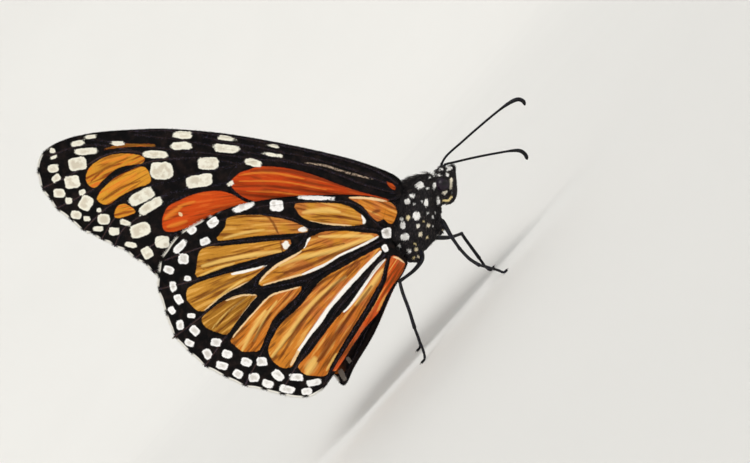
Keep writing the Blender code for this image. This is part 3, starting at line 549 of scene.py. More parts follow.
def tube(line, radii, sides, up=(0, 0, 1)):
    """Rings along a line, closed at both ends."""
    line = np.asarray(line, float)
    radii = np.broadcast_to(radii, len(line))
    along = unit(np.gradient(line, axis=0))
    across = unit(np.cross(along, up))
    over = np.cross(across, along)
    turn = (2 * np.pi * np.arange(sides) / sides)[:, None]
    ring = across[:, None] * np.cos(turn) + over[:, None] * np.sin(turn)
    points = (line[:, None] + ring * radii[:, None, None]).reshape(-1, 3)
    ends = [tuple(range(sides - 1, -1, -1)), tuple(range(len(points) - sides, len(points)))]
    return points, ring_faces(len(line), sides) + ends


def lathe(profile, sides, top, bottom=None):
    """Rings round the z axis through (reach, height), from a point at the top to one below."""
    points = [(0, 0, top)]
    for reach, height in profile:
        for k in range(sides):
            turn = 2 * math.pi * k / sides
            points.append((reach * math.cos(turn), reach * math.sin(turn), height))
    faces = [(0, 1 + k, 1 + (k + 1) % sides) for k in range(sides)]
    faces += ring_faces(len(profile), sides, 1, inward=True)
    if bottom is not None:
        last = len(points)
        faces += [(last - sides + k, last, last - sides + (k + 1) % sides) for k in range(sides)]
        points.append((0, 0, bottom))
    return points, faces


def ball(middle, size, segments=24, rings=16, lean=0.0):
    """An oval ball; lean tips it forward about y, in radians."""
    polar = [math.pi * i / rings for i in range(1, rings)]
    points, faces = lathe([(math.sin(p), math.cos(p)) for p in polar], segments, 1, -1)
    points = np.array(points) * size
    x, z = turned(points[:, 0], points[:, 2], lean)
    return np.column_stack([x, points[:, 1], z]) + middle, faces


def paint(red, green, blue):
    """A colour given on a screen's scale, 0 to 255, as light."""
    shares = (red / 255, green / 255, blue / 255)
    return tuple(c / 12.92 if c < 0.04045 else ((c + 0.055) / 1.055) ** 2.4 for c in shares)


# ---- wings

def wing_place(out, fore):
    """x and z of points of the wing plane."""
    rise, back = turned(fore, out, WING_LEAN)
    return WING_ROOT[0] - back, WING_ROOT[1] + rise


def root_swell(x, z):
    """1 beside the wing roots, falling to 0 away from them."""
    away = np.hypot(x - WING_ROOT[0] + 0.8, z - WING_ROOT[1] + 0.9)
    return np.exp(-((away / ROOT_REACH) ** 2))


def forewing_offset(x, z):
    return FORE_Y + ROOT_BULGE * root_swell(x, z)


def hindwing_offset(x, z):
    """Hindwings lie outside the forewings and round the abdomen, and come in at their hinge."""
    away, _ = line_distance(np.stack([x, z], 1), np.array([WAIST, TAIL]))
    belly = np.exp(-((away / BELLY_REACH) ** 2))
    hinge = np.exp(-((x - HINGE[0]) ** 2 + (z - HINGE[1]) ** 2) / HINGE_REACH**2)
    swell = root_swell(x, z)
    return HIND_Y + ROOT_BULGE * swell + BELLY_BULGE * belly * (1 - swell) - HINGE_PULL * hinge


def forewing_outer(points):
    """1 on the outer edge of the forewing, 0 elsewhere."""
    reach = np.hypot(points[:, 0], points[:, 1] - 2)
    return smooth_step(reach, 30.5, 33) * smooth_step(-points[:, 1], -7.6, -5.5)


def hindwing_outer(points):
    """1 on the outer edge of the hindwing, 0 elsewhere."""
    reach = np.hypot(points[:, 0], points[:, 1])
    return smooth_step(reach, 24, 27) * smooth_step(points[:, 0], 9.5, 12)


def fringe_breaks(outline, tips):
    """Where the pale fringe is broken: at each vein's end and halfway to the next."""
    along = measured(outline)[1][:-1]
    ends = sorted({int(np.linalg.norm(outline - tip, axis=1).argmin()) for tip in tips})
    breaks = list(ends)
    for first, second in zip(ends, ends[1:]):
        if along[second] - along[first] > 2.4:
            breaks.append(int(np.abs(along - (along[first] + along[second]) / 2).argmin()))
    return outline[breaks]


def fanned(points, curve, number):
    """Across and along a patch: its rows of scales spread a little from the end by the body."""
    middle = curve.mean(0)
    along = np.linalg.svd(curve - middle, full_matrices=False)[2][0]
    if along @ middle < 0:
        along = -along
    away = points - middle + along * FAN_REACH
    angle = np.arctan2(along[0] * away[:, 1] - along[1] * away[:, 0], away @ along)
    distance = np.linalg.norm(away, axis=1)
    return np.stack([angle * FAN_REACH * 0.45 + 7 * number, distance * 0.1, 0 * angle], 1)


def pattern_fields(points, pattern, outline, lines):
    """The markings of a wing at points of its plane, as distances in millimetres."""
    patches, streaks, spots = pattern
    ground = np.full(len(points), OUTSIDE)
    tint = np.zeros(len(points))
    grain = np.zeros((len(points), 3))
    for number, (shade, corners) in enumerate(patches):
        curve = spline(corners, 0.5, closed=True)
        depth, _ = line_distance(points, curve, closed=True)
        depth = np.where(inside(points, curve), depth, -depth)
        deeper = depth > ground
        tint = np.where(deeper, shade, tint)
        grain = np.where(deeper[:, None], fanned(points, curve, number), grain)
        ground = np.maximum(ground, depth)
    fields = {"ground": ground, "tint": tint, "grain": grain}
    for kind in ("light", "dark", "cream", "white", "frost"):
        level = np.full(len(points), -1.0)
        for half, route in streaks.get(kind, ()):
            away, place = line_distance(points, spline(route, 0.8))
            taper = 0.45 + 0.55 * np.sin(np.pi * np.clip(place, 0.02, 0.98)) ** 0.6
            level = np.maximum(level, 1 - away / (1.5 * half * taper))
        fields[kind] = level
    spot = np.full(len(points), OUTSIDE)
    for out, fore, length, width, turn in spots:
        u, v = turned(points[:, 0] - out, points[:, 1] - fore, math.radians(turn))
        spot = np.maximum(spot, oval_depth(u, v, length, width, 3.6))
    fields["spot"] = spot
    fields["core"] = np.min([line_distance(points, line)[0] for line in lines], axis=0)
    rim = line_distance(points, outline, closed=True)[0]
    fields["rim"] = np.where(inside(points, outline), rim, 0)
    breaks = fringe_breaks(outline, np.array([line[-1] for line in lines]))
    fields["fringe"] = smooth_step(nearest(points, breaks), 0.35, 0.6)
    fields["reach"] = np.hypot(points[:, 0] + 3, points[:, 1] + 4)
    return fields


def scalloped(outline, tips, outer):
    """Draws the outer edge in a little between the vein tips; also gives the way out of it."""
    ahead = np.roll(outline, -1, axis=0) - np.roll(outline, 1, axis=0)
    inward = unit(np.stack([-ahead[:, 1], ahead[:, 0]], 1))
    if np.sum(inward * (outline.mean(0) - outline)) < 0:
        inward = -inward
    depth = SCALLOP * smooth_step(nearest(outline, tips), 0.2, 1.6) * outer(outline)
    return outline + inward * depth[:, None], -inward


def filled(outline, spacing):
    """Triangles that fill an outline with evenly spread points."""
    low, high = outline.min(0), outline.max(0)
    rows = np.arange(low[1], high[1], spacing * math.sqrt(3) / 2)
    columns = np.arange(low[0], high[0], spacing)
    grid = np.array([(x + spacing / 2 * (j % 2), y) for j, y in enumerate(rows) for x in columns])
    grid = grid[inside(grid, outline)]
    clear = line_distance(grid, outline, closed=True)[0] > 0.6 * spacing
    points = [Vector(p) for p in np.concatenate([outline, grid[clear]])]
    count = len(outline)
    links = [(i, (i + 1) % count) for i in range(count)]
    flat = delaunay_2d_cdt(points, links, [list(range(count))], 1, 1e-5)
    return np.array(flat[0]), [tuple(face) for face in flat[2]]


def add_fringe(shape, outline, outward, tips, outer):
    """Short hairs round the edge, longer on its outer side and between the vein tips."""
    rng = np.random.default_rng(5)
    lengths, along = measured(outline)
    for at in np.arange(0, along[-1], FRINGE_SPACING):
        i = min(int(np.searchsorted(along, at, side="right")), len(outline)) - 1
        share = (at - along[i]) / max(lengths[i], 1e-9)
        root = outline[i] * (1 - share) + outline[(i + 1) % len(outline)] * share
        tip_away = np.linalg.norm(tips - root, axis=1).min()
        strength = float(outer(root[None])[0]) * (0.5 + 0.5 * min(1, tip_away / 0.9))
        length = FRINGE_LENGTH + FRINGE_MORE * strength
        length *= rng.uniform(0.7, 1.15)
        way = outward[i] + rng.normal(0, 0.14, 2)
        side = np.array((-way[1], way[0])) * FRINGE_HALF
        lift = rng.uniform(-0.03, 0.03)
        inner = root - outward[i] * 0.05
        corners = [(*(inner + side), lift), (*(inner - side), lift), (*inner, lift + 0.04)]
        corners.append((*(root + way * length), lift * 2))
        shape.add(corners, [(0, 1, 2), (0, 3, 1), (1, 3, 2), (2, 3, 0)])


def wing_layout(edge, veins, pattern, outer):
    """Everything about a wing that its two sides share: flat places, rises, faces and fields."""
    lines = [spline(route, 0.6) for _, _, route in veins]
    tips = np.array([line[-1] for line in lines])
    outline, outward = scalloped(spline(edge, CELL, closed=True), tips, outer)
    flat, triangles = filled(outline, CELL)
    from_edge = line_distance(flat, outline, closed=True)[0]
    thin = MEMBRANE * (0.6 + 0.4 * smooth_step(from_edge, 0, 2))
    total, count = len(flat), len(outline)
    faces = triangles + [tuple(i + total for i in reversed(face)) for face in triangles]
    faces += [(i, i + total, (i + 1) % count + total, (i + 1) % count) for i in range(count)]
    shape = Shape()
    both = np.column_stack([np.concatenate([flat, flat]), np.concatenate([thin, -thin])])
    shape.add(both, faces)
    for (first, last, _), line in zip(veins, lines):
        line = np.column_stack([line, np.zeros(len(line))])
        shape.add(*tube(line, np.linspace(first, last, len(line)), 8))
    before_fringe = shape.count
    add_fringe(shape, outline, outward, tips, outer)
    points = shape.all_points()
    upper = (points[:, 2] < -0.01).astype(float)
    upper[before_fringe:] = 0
    fields = pattern_fields(points[:, :2], pattern, outline, lines)
    fields["upper"] = upper
    fields["outer"] = outer(points[:, :2])
    return points, shape.faces, fields


def wing(side, kind, layout, offset, material, turn=0.0, shift=(0.0, 0.0)):
    """Stands a wing's layout up on one side of the body, with its folds."""
    points, faces, fields = layout
    out, fore = turned(points[:, 0], points[:, 1], turn)
    x, z = wing_place(out - shift[0], fore + shift[1])
    fold = np.clip(fields["light"], 0, 1) - np.clip(fields["dark"], 0, 1)
    belly = 0.7 * (1 - np.exp(-((fields["core"] / 0.8) ** 2)))
    angle = fields["grain"][:, 0]
    crimp = np.sin(9.5 * angle + 2 * np.sin(1.3 * angle)) + 0.7 * np.sin(16.7 * angle + 1)
    wave = 0.12 * np.sin(points[:, 0] * 0.35 + points[:, 1] * 0.5)
    relief = PLEAT * (fold + belly) + wave * smooth_step(points[:, 0], 8, 30)
    relief += CRIMP * crimp * belly * smooth_step(fields["ground"], 0, 0.4)
    y = side * (offset(x, z) + relief + points[:, 2])
    low, high = points[:, :2].min(0), points[:, :2].max(0)
    uv = (points[:, :2] - low) / (high - low)
    uv = np.column_stack([uv[:, 0], uv[:, 1] * 0.48 + 0.51 * fields["upper"]])
    # The layout's faces look along +rise, which is outwards on the left.
    mirrored = faces if side < 0 else [tuple(reversed(face)) for face in faces]
    word = "right" if side < 0 else "left"
    piece(f"{word}_{kind}", np.column_stack([x, y, z]), mirrored, material,
          (f"{kind}_{word}",), fields, uv)


# ---- body

def face_place(ahead, aside, up):
    """A point of the head, whose face looks forward and down from the neck."""
    x, z = turned(ahead, up, HEAD_NOD)
    return np.array((NECK[0] + x, aside, NECK[1] + z))


def head_frame(points):
    """How far ahead of the neck, along the face's own look, and how far up the face."""
    return turned(points[:, 0] - NECK[0], points[:, 2] - NECK[1], -HEAD_NOD)


def on_head(points):
    """True on the head and the palps."""
    ahead, up = head_frame(points)
    return (ahead > -0.1) & (up > -2.4)


def abdomen_share(points):
    """How far along the abdomen each point is: 0 at the waist, 1 at the tail."""
    start, end = np.array(WAIST), np.array(TAIL)
    along = end - start
    return (points[:, [0, 2]] - start) @ along / (along @ along)


def node_shape(name):
    """A CAD node's points, in millimetres of the drawing frame, and its faces."""
    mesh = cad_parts[name].data
    points = np.array([v.co for v in mesh.vertices]) / MM - (STAND_X, 0, 0)
    return points, [tuple(p.vertices) for p in mesh.polygons]


def merged(shape):
    """One closed skin round all the parts of a shape: its points, normals and faces."""
    blank = new_object("blank", new_mesh("blank", shape.all_points(), shape.faces))
    melt = blank.modifiers.new("melt", "REMESH")
    melt.mode = "VOXEL"
    melt.voxel_size = SKIN_VOXEL
    relax = blank.modifiers.new("relax", "SMOOTH")
    relax.factor = 0.5
    relax.iterations = 2
    graph = bpy.context.evaluated_depsgraph_get()
    melted = bpy.data.meshes.new_from_object(blank.evaluated_get(graph))
    read = []
    for values in ("co", "normal"):
        read.append(np.zeros(len(melted.vertices) * 3))
        melted.vertices.foreach_get(values, read[-1])
    faces = [tuple(p.vertices) for p in melted.polygons]
    for mesh in (blank.data, melted):
        bpy.data.meshes.remove(mesh)
    return read[0].reshape(-1, 3), read[1].reshape(-1, 3), faces


def mark_fields(points):
    """The body's pale marks as distances in millimetres, and how yellow the nearest one is."""
    mark = np.full(len(points), OUTSIDE)
    warm = np.zeros(len(points))
    aside = np.abs(points[:, 1])
    for x, z, length, width, yellow in BODY_MARKS:
        ahead, up = points[:, 0] - x, points[:, 2] - z
        column = np.hypot(ahead, up) < 0.35
        if not column.any():
            continue
        close = (np.abs(ahead) < 2) & (np.abs(up) < 2)
        u, v = turned(ahead, up, MARK_TURN)
        rounding = 0.6 * (aside - aside[column].max())
        if length > width:
            v = np.hypot(v, rounding)
        else:
            u = np.hypot(u, rounding)
        depth = np.where(close, oval_depth(u, v, length, width, 2), OUTSIDE)
        warm = np.where(depth > mark, yellow, warm)
        mark = np.maximum(mark, depth)
    # Pale dots along the sides of the abdomen
    flank = (abdomen_share(points) > 0.06) & (aside > 0.5)
    for ring in range(SEGMENTS):
        at = (ring + 0.55) / SEGMENTS
        x, z = (start + (end - start) * at for start, end in zip(WAIST, TAIL))
        z -= 0.5 * math.sin(math.pi * at)
        for height, size in ((-0.15, 0.34), (-1.05, 0.3)):
            away = np.hypot(points[:, 0] - x, points[:, 2] - z - height)
            mark = np.maximum(mark, np.where(flank, size - away, OUTSIDE))
    face = np.stack(head_frame(points), 1)
    for half, route, yellow in PALP_STRIPES:
        away, _ = line_distance(face, np.array(route))
        stripe = np.where((aside > 0.45) & (face[:, 0] > 0.8), half - away, OUTSIDE)
        warm = np.where(stripe > mark, yellow, warm)
        mark = np.maximum(mark, stripe)
    return mark, warm


def body_skin():
    """Head, thorax, abdomen, palps and the tucked forelegs under one skin."""
    shape = Shape()
    shape.add(*node_shape("thorax"))
    shape.add(*node_shape("abdomen"))
    for middle, size in HEAD_FORMS:
        shape.add(*ball(face_place(*middle), size, lean=HEAD_NOD))
    for middle, size, lean in BODY_FORMS:
        shape.add(*ball(middle, size, lean=lean))
    curve = spline(PALP, 0.2)
    for side in (-1, 1):
        aside = side * np.linspace(*PALP_SIDE, len(curve))
        palp = [face_place(ahead, out, up) for (ahead, up), out in zip(curve, aside)]
        shape.add(*tube(palp, PALP_GIRTH, 12, up=(0, 1, 0)))
        shape.add(*ball(palp[-1], (0.36, 0.36, 0.36), 12, 8))
        foreleg = spline([(x, side * y, z) for x, y, z in FORELEG], 0.2)
        shape.add(*tube(foreleg, FORELEG_GIRTH, 12, up=(0, 1, 0)))
        for (ahead, out, up), size in HEAD_PAIRS:
            shape.add(*ball(face_place(ahead, side * out, up), size, lean=HEAD_NOD))
        for (x, y, z), size, lean in BODY_PAIRS:
            shape.add(*ball((x, side * y, z), size, lean=lean))
    points, normals, faces = merged(shape)
    share = abdomen_share(points)
    rear = smooth_step(share, 0.02, 0.08)
    step = (np.clip(share, 0, 1) * SEGMENTS) % 1
    relief = SEGMENT_STEP * (step - 0.5) * rear
    for x, lean, depth in SUTURES:
        away = points[:, 0] - x - lean * (points[:, 2] - 14)
        relief -= depth * np.exp(-((away / SUTURE_WIDTH) ** 2)) * (1 - rear)
    relief -= COAT_DEPTH * (1 - 0.9 * on_head(points))
    return points + normals * relief[:, None], faces


# ---- coat

def scatter(points, faces, wanted, rng, spacing):
    """Random places on a skin, about `spacing` apart, where `wanted` says so: points, normals."""
    halves = [(f[0], f[1], f[2]) for f in faces] + [(f[0], f[2], f[3]) for f in faces if len(f) == 4]
    a, b, c = points[np.array(halves)].transpose(1, 0, 2)
    cross = np.cross(b - a, c - a)
    area = np.linalg.norm(cross, axis=1) / 2
    chosen = np.flatnonzero(wanted((a + b + c) / 3) & (area > 1e-9))
    number = int(area[chosen].sum() / spacing**2)
    picks = rng.choice(chosen, number, p=area[chosen] / area[chosen].sum())
    u, v = rng.random(number), rng.random(number)
    flip = u + v > 1
    u[flip], v[flip] = 1 - u[flip], 1 - v[flip]
    places = a[picks] + (b[picks] - a[picks]) * u[:, None] + (c[picks] - a[picks]) * v[:, None]
    return places, cross[picks] / (2 * area[picks])[:, None]


def tufts(name, roots, normals, lie, length, width, lift, rng, material, unwrap):
    """Curved locks of hair or scales, flat and pointed, that lie along the skin."""
    count = len(roots)
    lie = np.broadcast_to(lie, (count, 3))
    lie = lie - normals * np.sum(lie * normals, axis=1)[:, None]
    lie = lie + rng.normal(0, 0.22, (count, 3))
    lie = unit(lie - normals * np.sum(lie * normals, axis=1)[:, None])
    across = np.cross(lie, normals)
    length = length * rng.uniform(0.75, 1.25, count)
    width = width * rng.uniform(0.8, 1.2, count)
    lift = np.clip(lift + rng.normal(0, 0.08, count), 0.02, 0.9)
    levels = []
    for t, wide in ((0.0, 1.0), (0.4, 1.1), (0.78, 0.6)):
        middle = roots - normals * 0.03
        middle = middle + lie * (length * t * (1 - 0.3 * lift * (1 - t)))[:, None]
        middle = middle + normals * (length * lift * t * (1.5 - 0.8 * t))[:, None]
        half = (width * wide / 2)[:, None]
        levels += [middle + across * half, middle + normals * half * 0.6, middle - across * half]
    tip = roots + lie * length[:, None] + normals * (length * lift * 0.7)[:, None]
    points = np.stack([*levels, tip], 1).reshape(-1, 3)
    lock = [(0, 1, 4, 3), (1, 2, 5, 4), (2, 0, 3, 5), (3, 4, 7, 6), (4, 5, 8, 7), (5, 3, 6, 8),
            (6, 7, 9), (7, 8, 9), (8, 6, 9), (0, 2, 1)]
    faces = [tuple(i + start for i in face) for start in range(0, 10 * count, 10) for face in lock]
    mark, warm = mark_fields(roots)
    fields = {
        "mark": np.repeat(mark, 10),
        "warm": np.repeat(warm, 10),
        "shade": np.repeat(rng.random(count), 10),
        "tip": np.tile(np.repeat([0, 0.4, 0.8, 1], [3, 3, 3, 1]), count),
    }
    spread = np.array([(k % 3 / 2, k // 3 / 3) for k in range(10)]) - 0.5
    uv = np.repeat(unwrap(roots), 10, axis=0) + np.tile(spread, (count, 1)) * COAT_PATCH
    piece(name, points, faces, material, (), fields, uv)


def unwrapped(low, high, middle_z):
    """Unrolls a stretch of the body round its own length, between two x."""
    def unwrap(points):
        u = (points[:, 0] - low) / (high - low)
        v = np.arctan2(points[:, 1], points[:, 2] - middle_z) / (2 * np.pi) + 0.5
        return np.stack([u * 0.9 + 0.05, v * 0.98 + 0.01], 1)
    return unwrap


# ---- materials

class Graph:
    """A material's node tree, with short calls for the nodes used here."""

    def __init__(self, name):
        self.material = bpy.data.materials.new(name)
        self.material.use_nodes = True
        self.tree = self.material.node_tree
        self.shader = self.tree.nodes["Principled BSDF"]

    def node(self, kind, **settings):
        made = self.tree.nodes.new("ShaderNode" + kind)
        for setting, value in settings.items():
            setattr(made, setting, value)
        return made

    def feed(self, node, **values):
        """Fills a node's sockets, by name or by s and their number."""
        for key, value in values.items():
            socket = node.inputs[int(key[1:]) if key[1:].isdigit() else key.replace("_", " ")]
            if isinstance(value, bpy.types.NodeSocket):
                self.tree.links.new(value, socket)
            elif isinstance(value, tuple) and len(value) == 3 and len(socket.default_value) == 4:
                socket.default_value = (*value, 1)
            else:
                socket.default_value = value

    def field(self, name, output="Fac"):
        return self.node("Attribute", attribute_name=name).outputs[output]

    def math(self, operation, *values):
        node = self.node("Math", operation=operation)
        self.feed(node, **{f"s{i}": value for i, value in enumerate(values)})
        return node.outputs[0]

    def times(self, first, second):
        return self.math("MULTIPLY", first, second)

    def plus(self, first, second):
        return self.math("ADD", first, second)

    def swing(self, value, width):
        """A 0 to 1 value made to swing round 0."""
        return self.math("MULTIPLY_ADD", value, width, -width / 2)

    def step(self, value, low, high):
        """0 below low, 1 above high, smooth between."""
        node = self.node("MapRange", interpolation_type="SMOOTHSTEP")
        self.feed(node, Value=value, From_Min=low, From_Max=high)
        return node.outputs[0]

    def mix(self, share, first, second):
        node = self.node("Mix", data_type="RGBA")
        self.feed(node, s0=share, s6=first, s7=second)
        return node.outputs[2]

    def place(self, scale):
        """The spot on the surface, in millimetres times scale."""
        return self.scaled(self.node("TexCoord").outputs["Object"], (scale / MM,) * 3)

    def scaled(self, vector, scale):
        node = self.node("VectorMath", operation="MULTIPLY")
        self.feed(node, s0=vector, s1=scale)
        return node.outputs[0]

    def noise(self, vector, detail):
        node = self.node("TexNoise")
        self.feed(node, Scale=1, Detail=detail, Vector=vector)
        return node.outputs["Fac"]

    def cells(self, scale):
        node = self.node("TexVoronoi")
        self.feed(node, Scale=1, Vector=self.place(scale))
        return node.outputs["Distance"]

    def ramp(self, value, stops):
        node = self.node("ValToRGB")
        elements = node.color_ramp.elements
        while len(elements) < len(stops):
            elements.new(0.5)
        for element, (position, colour) in zip(elements, stops):
            element.position = position
            element.color = (*colour, 1)
        self.feed(node, s0=value)
        return node.outputs[0]

    def bump(self, height, distance, strength):
        node = self.node("Bump")
        self.feed(node, Distance=distance * MM, Strength=strength, Height=height)
        self.tree.links.new(node.outputs[0], self.shader.inputs["Normal"])

    def surface(self, colour, roughness, specular, coat=0.0, coat_roughness=0.1):
        self.feed(self.shader, Base_Color=colour, Roughness=roughness, Specular_IOR_Level=specular,
                  Coat_Weight=coat, Coat_Roughness=coat_roughness)
        return self.material


def wing_material(name, stops, streaks, rim, middle):
    """Coloured patches on black, with streaks of painted fold highlight and shade, a painted glint on the
    veins, pale spots, a fringe and rows of fine scales.
    """
    g = Graph(name)
    fine = g.noise(g.place(5.0), 2)
    blotch = g.noise(g.place(1.1), 3)
    cloud = g.noise(g.place(0.45), 2)
    grain = g.field("grain", "Vector")
    streak = g.noise(g.scaled(grain, (5.0, 1.8, 1)), 4)
    thread = g.noise(g.scaled(grain, (17.0, 4.0, 1)), 2)
    ripple = g.noise(g.scaled(grain, (3.0, 28.0, 1)), 2)
    ragged = g.swing(fine, 0.16)
    rough = g.swing(blotch, 0.5)
    wander = g.swing(thread, 0.7)

    # The coloured ground and its streaks: painted shade in the furrows, dark streaks and fine ripples,
    # painted highlight on the ridges and light streaks, then blush, cream and white
    furrow_shade_colour, ridge_highlight_colour, fold_highlight_colour, fold_shade_colour, blush_colour = streaks
    base = g.ramp(g.plus(g.field("tint"), g.swing(streak, 0.24)), stops)
    blush = g.times(g.step(cloud, 0.42, 0.6), g.step(g.field("reach"), 27, 17))
    for share, strength, colour in (
        (blush, 0.6, blush_colour),
        # Furrows and ridges of the folds: painted shade and painted highlight
        (g.step(streak, 0.5, 0.36), 0.85, furrow_shade_colour),
        (g.step(streak, 0.53, 0.66), 0.75, ridge_highlight_colour),
        # Fine ripples across the rows: a faint painted shade
        (g.step(ripple, 0.52, 0.62), 0.06, fold_shade_colour),
        # Light and dark streaks: painted highlight and painted shade of the folds
        (g.step(g.plus(g.field("light"), wander), 0, 0.9), 0.75, fold_highlight_colour),
        (g.step(g.plus(g.field("dark"), wander), 0, 0.85), 0.75, fold_shade_colour),
        (g.step(g.plus(g.field("cream"), wander), 0, 0.5), 0.9, paint(242, 208, 158)),
        (g.step(g.plus(g.field("white"), wander), 0, 0.45), 1.0, paint(245, 240, 232)),
    ):
        base = g.mix(g.times(share, strength), base, colour)
    hem = g.times(g.step(g.field("rim"), 4.2, 2.8), g.math("SUBTRACT", 1, g.field("outer")))
    upper_side = g.mix(g.step(blotch, 0.3, 0.7), paint(196, 96, 18), paint(210, 116, 26))
    base = g.mix(g.field("upper"), base, g.mix(hem, upper_side, paint(30, 22, 21)))

    # The black ground, with pale scales along the veins near the edge, a painted lilac glint along the
    # middle of the veins, and a frosted line
    black = g.mix(g.step(blotch, 0.4, 0.75), paint(9, 8, 9), paint(30, 22, 20))
    border = g.times(g.step(g.field("rim"), 6.5, 3.5), g.step(g.field("core"), 0.14, 0.04))
    border = g.times(border, g.math("MULTIPLY_ADD", g.field("outer"), 0.17, 0.06))
    black = g.mix(border, black, paint(112, 84, 78))
    # A painted highlight: lilac glints along the middle of the veins
    glint = g.times(g.step(g.field("core"), 0.30, 0.10), g.step(fine, 0.5, 0.68))
    black = g.mix(g.times(glint, 0.25), black, paint(84, 80, 104))
    frost = g.step(g.plus(g.field("frost"), wander), 0.0, 0.9)
    frost = g.times(frost, g.step(fine, 0.38, 0.6))
    black = g.mix(g.times(frost, 0.9), black, paint(212, 186, 162))

    # Patches and spots with ragged edges, and the fringe
    edge = g.plus(g.plus(g.field("ground"), ragged), g.times(rough, 0.3))
    colour = g.mix(g.step(edge, -0.06, 0.07), black, base)
    spot = g.plus(g.plus(g.field("spot"), ragged), g.times(rough, 0.7))
    centre = g.times(g.step(spot, 0.08, 0.5), g.step(blotch, 0.38, 0.58))
    pale = g.mix(g.times(centre, 0.8), rim, middle)
    # Spots on the upper sides are darkened: painted shade, as that side lies in shadow
    pale = g.mix(g.times(g.field("upper"), 0.9), pale, paint(112, 98, 86))
    colour = g.mix(g.step(spot, -0.02, 0.09), colour, pale)
    fringe = g.times(g.step(g.field("rim"), 0.22, 0.1), g.field("fringe"))
    colour = g.mix(g.times(fringe, g.field("outer")), colour, paint(236, 232, 222))

    height = g.plus(g.times(g.cells(8.0), 0.5), g.times(thread, 0.8))
    g.bump(g.plus(height, streak), 0.04, 0.4)
    return g.surface(colour, 0.75, 0.08)


def coat_colour(g):
    """Black hair with white and yellowish marks."""
    fine = g.noise(g.place(4.0), 2)
    mark = g.plus(g.field("mark"), g.swing(fine, 0.2))
    pale = g.mix(g.field("warm"), paint(255, 253, 250), paint(244, 222, 160))
    black = g.mix(fine, paint(8, 7, 8), paint(34, 29, 32))
    return black, pale, g.step(mark, -0.04, 0.06)


def skin_material():
    g = Graph("body_skin_black")
    black, pale, share = coat_colour(g)
    g.bump(g.cells(7.0), 0.04, 0.7)
    return g.surface(g.mix(share, black, pale), 0.65, 0.25)


def coat_material():
    g = Graph("body_coat_hair")
    black, pale, share = coat_colour(g)
    grey = g.times(g.step(g.field("shade"), 0.9, 0.97), 0.6)
    black = g.mix(grey, black, paint(110, 98, 92))
    tipped = g.mix(g.times(g.field("tip"), 0.3), black, paint(58, 52, 56))
    g.bump(g.noise(g.place(9.0), 2), 0.02, 0.5)
    return g.surface(g.mix(share, tipped, pale), 0.55, 0.3)


def eye_material():
    g = Graph("eye_violet_black")
    cloud = g.step(g.noise(g.place(1.2), 3), 0.35, 0.65)
    g.bump(g.cells(7.5), 0.03, 0.5)
    return g.surface(g.mix(cloud, paint(8, 5, 8), paint(34, 20, 36)), 0.4, 0.2, 0.25, 0.12)


def horn_material():
    g = Graph("black_horn_blue_sheen")
    cloud = g.step(g.noise(g.place(2.2), 3), 0.4, 0.7)
    g.bump(g.cells(9.0), 0.03, 0.6)
    return g.surface(g.mix(cloud, paint(5, 4, 6), paint(22, 20, 34)), 0.45, 0.22)


def tongue_material():
    g = Graph("tongue_dark_brown")
    cloud = g.noise(g.place(4.0), 3)
    g.bump(cloud, 0.02, 0.6)
    return g.surface(g.mix(cloud, (0.02, 0.011, 0.008), (0.07, 0.035, 0.02)), 0.38, 0.5)


# ---- limbs

def bent(shape, route, radii):
    """A limb's segment: `radii` are spread evenly along its route."""
    line = spline(route, 0.12)
    place = np.linspace(0, 1, len(line))
    shape.add(*tube(line, np.interp(place, np.linspace(0, 1, len(radii)), radii), 12))
    return line


def spine(shape, root, way, length, width):
    """A thin straight thorn."""
    way = unit(way)
    side = unit(np.cross(way, (0.3, 0.5, 0.81)))
    other = np.cross(way, side)
    base = [root + (side * math.cos(a) + other * math.sin(a)) * width for a in (0, 2.1, 4.2)]
    shape.add([*base, root + way * length], [(0, 2, 1), (0, 1, 3), (1, 2, 3), (2, 0, 3)])


def leg(name, route, knee, ankle, node, material):
    """Femur to the knee, tibia to the ankle, then five short toes, two claws and their spines."""
    shape = Shape()
    rng = np.random.default_rng(len(name) + round(route[0][0] * 10))
    route = np.array(route, float)
    femur = bent(shape, route[: knee + 1], FEMUR_GIRTH)
    tibia = bent(shape, route[knee : ankle + 1], TIBIA_GIRTH)
    foot = spline(route[ankle:], 0.06)
    for first, last in zip(TOE_ENDS, TOE_ENDS[1:]):
        start, end = int(first * (len(foot) - 1)), int(last * (len(foot) - 1))
        toe = foot[start : end + 1]
        swell = np.sin(np.linspace(0, 1, len(toe)) * np.pi * 0.85)
        shape.add(*tube(toe, TOE_GIRTH + TOE_SWELL * swell - 0.03 * first, 10))
    for joint in (route[knee], route[ankle]):
        shape.add(*ball(joint, JOINT, 14, 10))
    for line, every, length in ((tibia, 3, 0.3), (foot, 3, 0.16), (femur, 6, 0.22)):
        for i in range(1, len(line) - 1, every):
            along = unit(line[i + 1] - line[i - 1])
            side = unit(np.cross(along, rng.normal(0, 1, 3)))
            spine(shape, line[i] + side * 0.12, side + along * 1.3, length, SPINE_HALF)
    tip = foot[-1]
    along = unit(tip - foot[-6])
    across = unit(np.cross(along, (0, 0, 1)))
    for side in (-1, 1):
        hook = [tip - along * 0.05, tip + along * 0.14 + across * side * 0.12 + (0, 0, 0.06),
                tip + along * 0.3 + across * side * 0.17 + (0, 0, -0.05)]
        claw = spline(hook, 0.05)
        shape.add(*tube(claw, np.linspace(0.05, 0.012, len(claw)), 6))
        spine(shape, tibia[-1], along + across * side * 0.7, SPUR_LENGTH, SPUR_HALF)
    points = shape.all_points()
    points[:, 2] = np.maximum(points[:, 2], 0.0)
    piece(name, points, shape.faces, material, (node,))


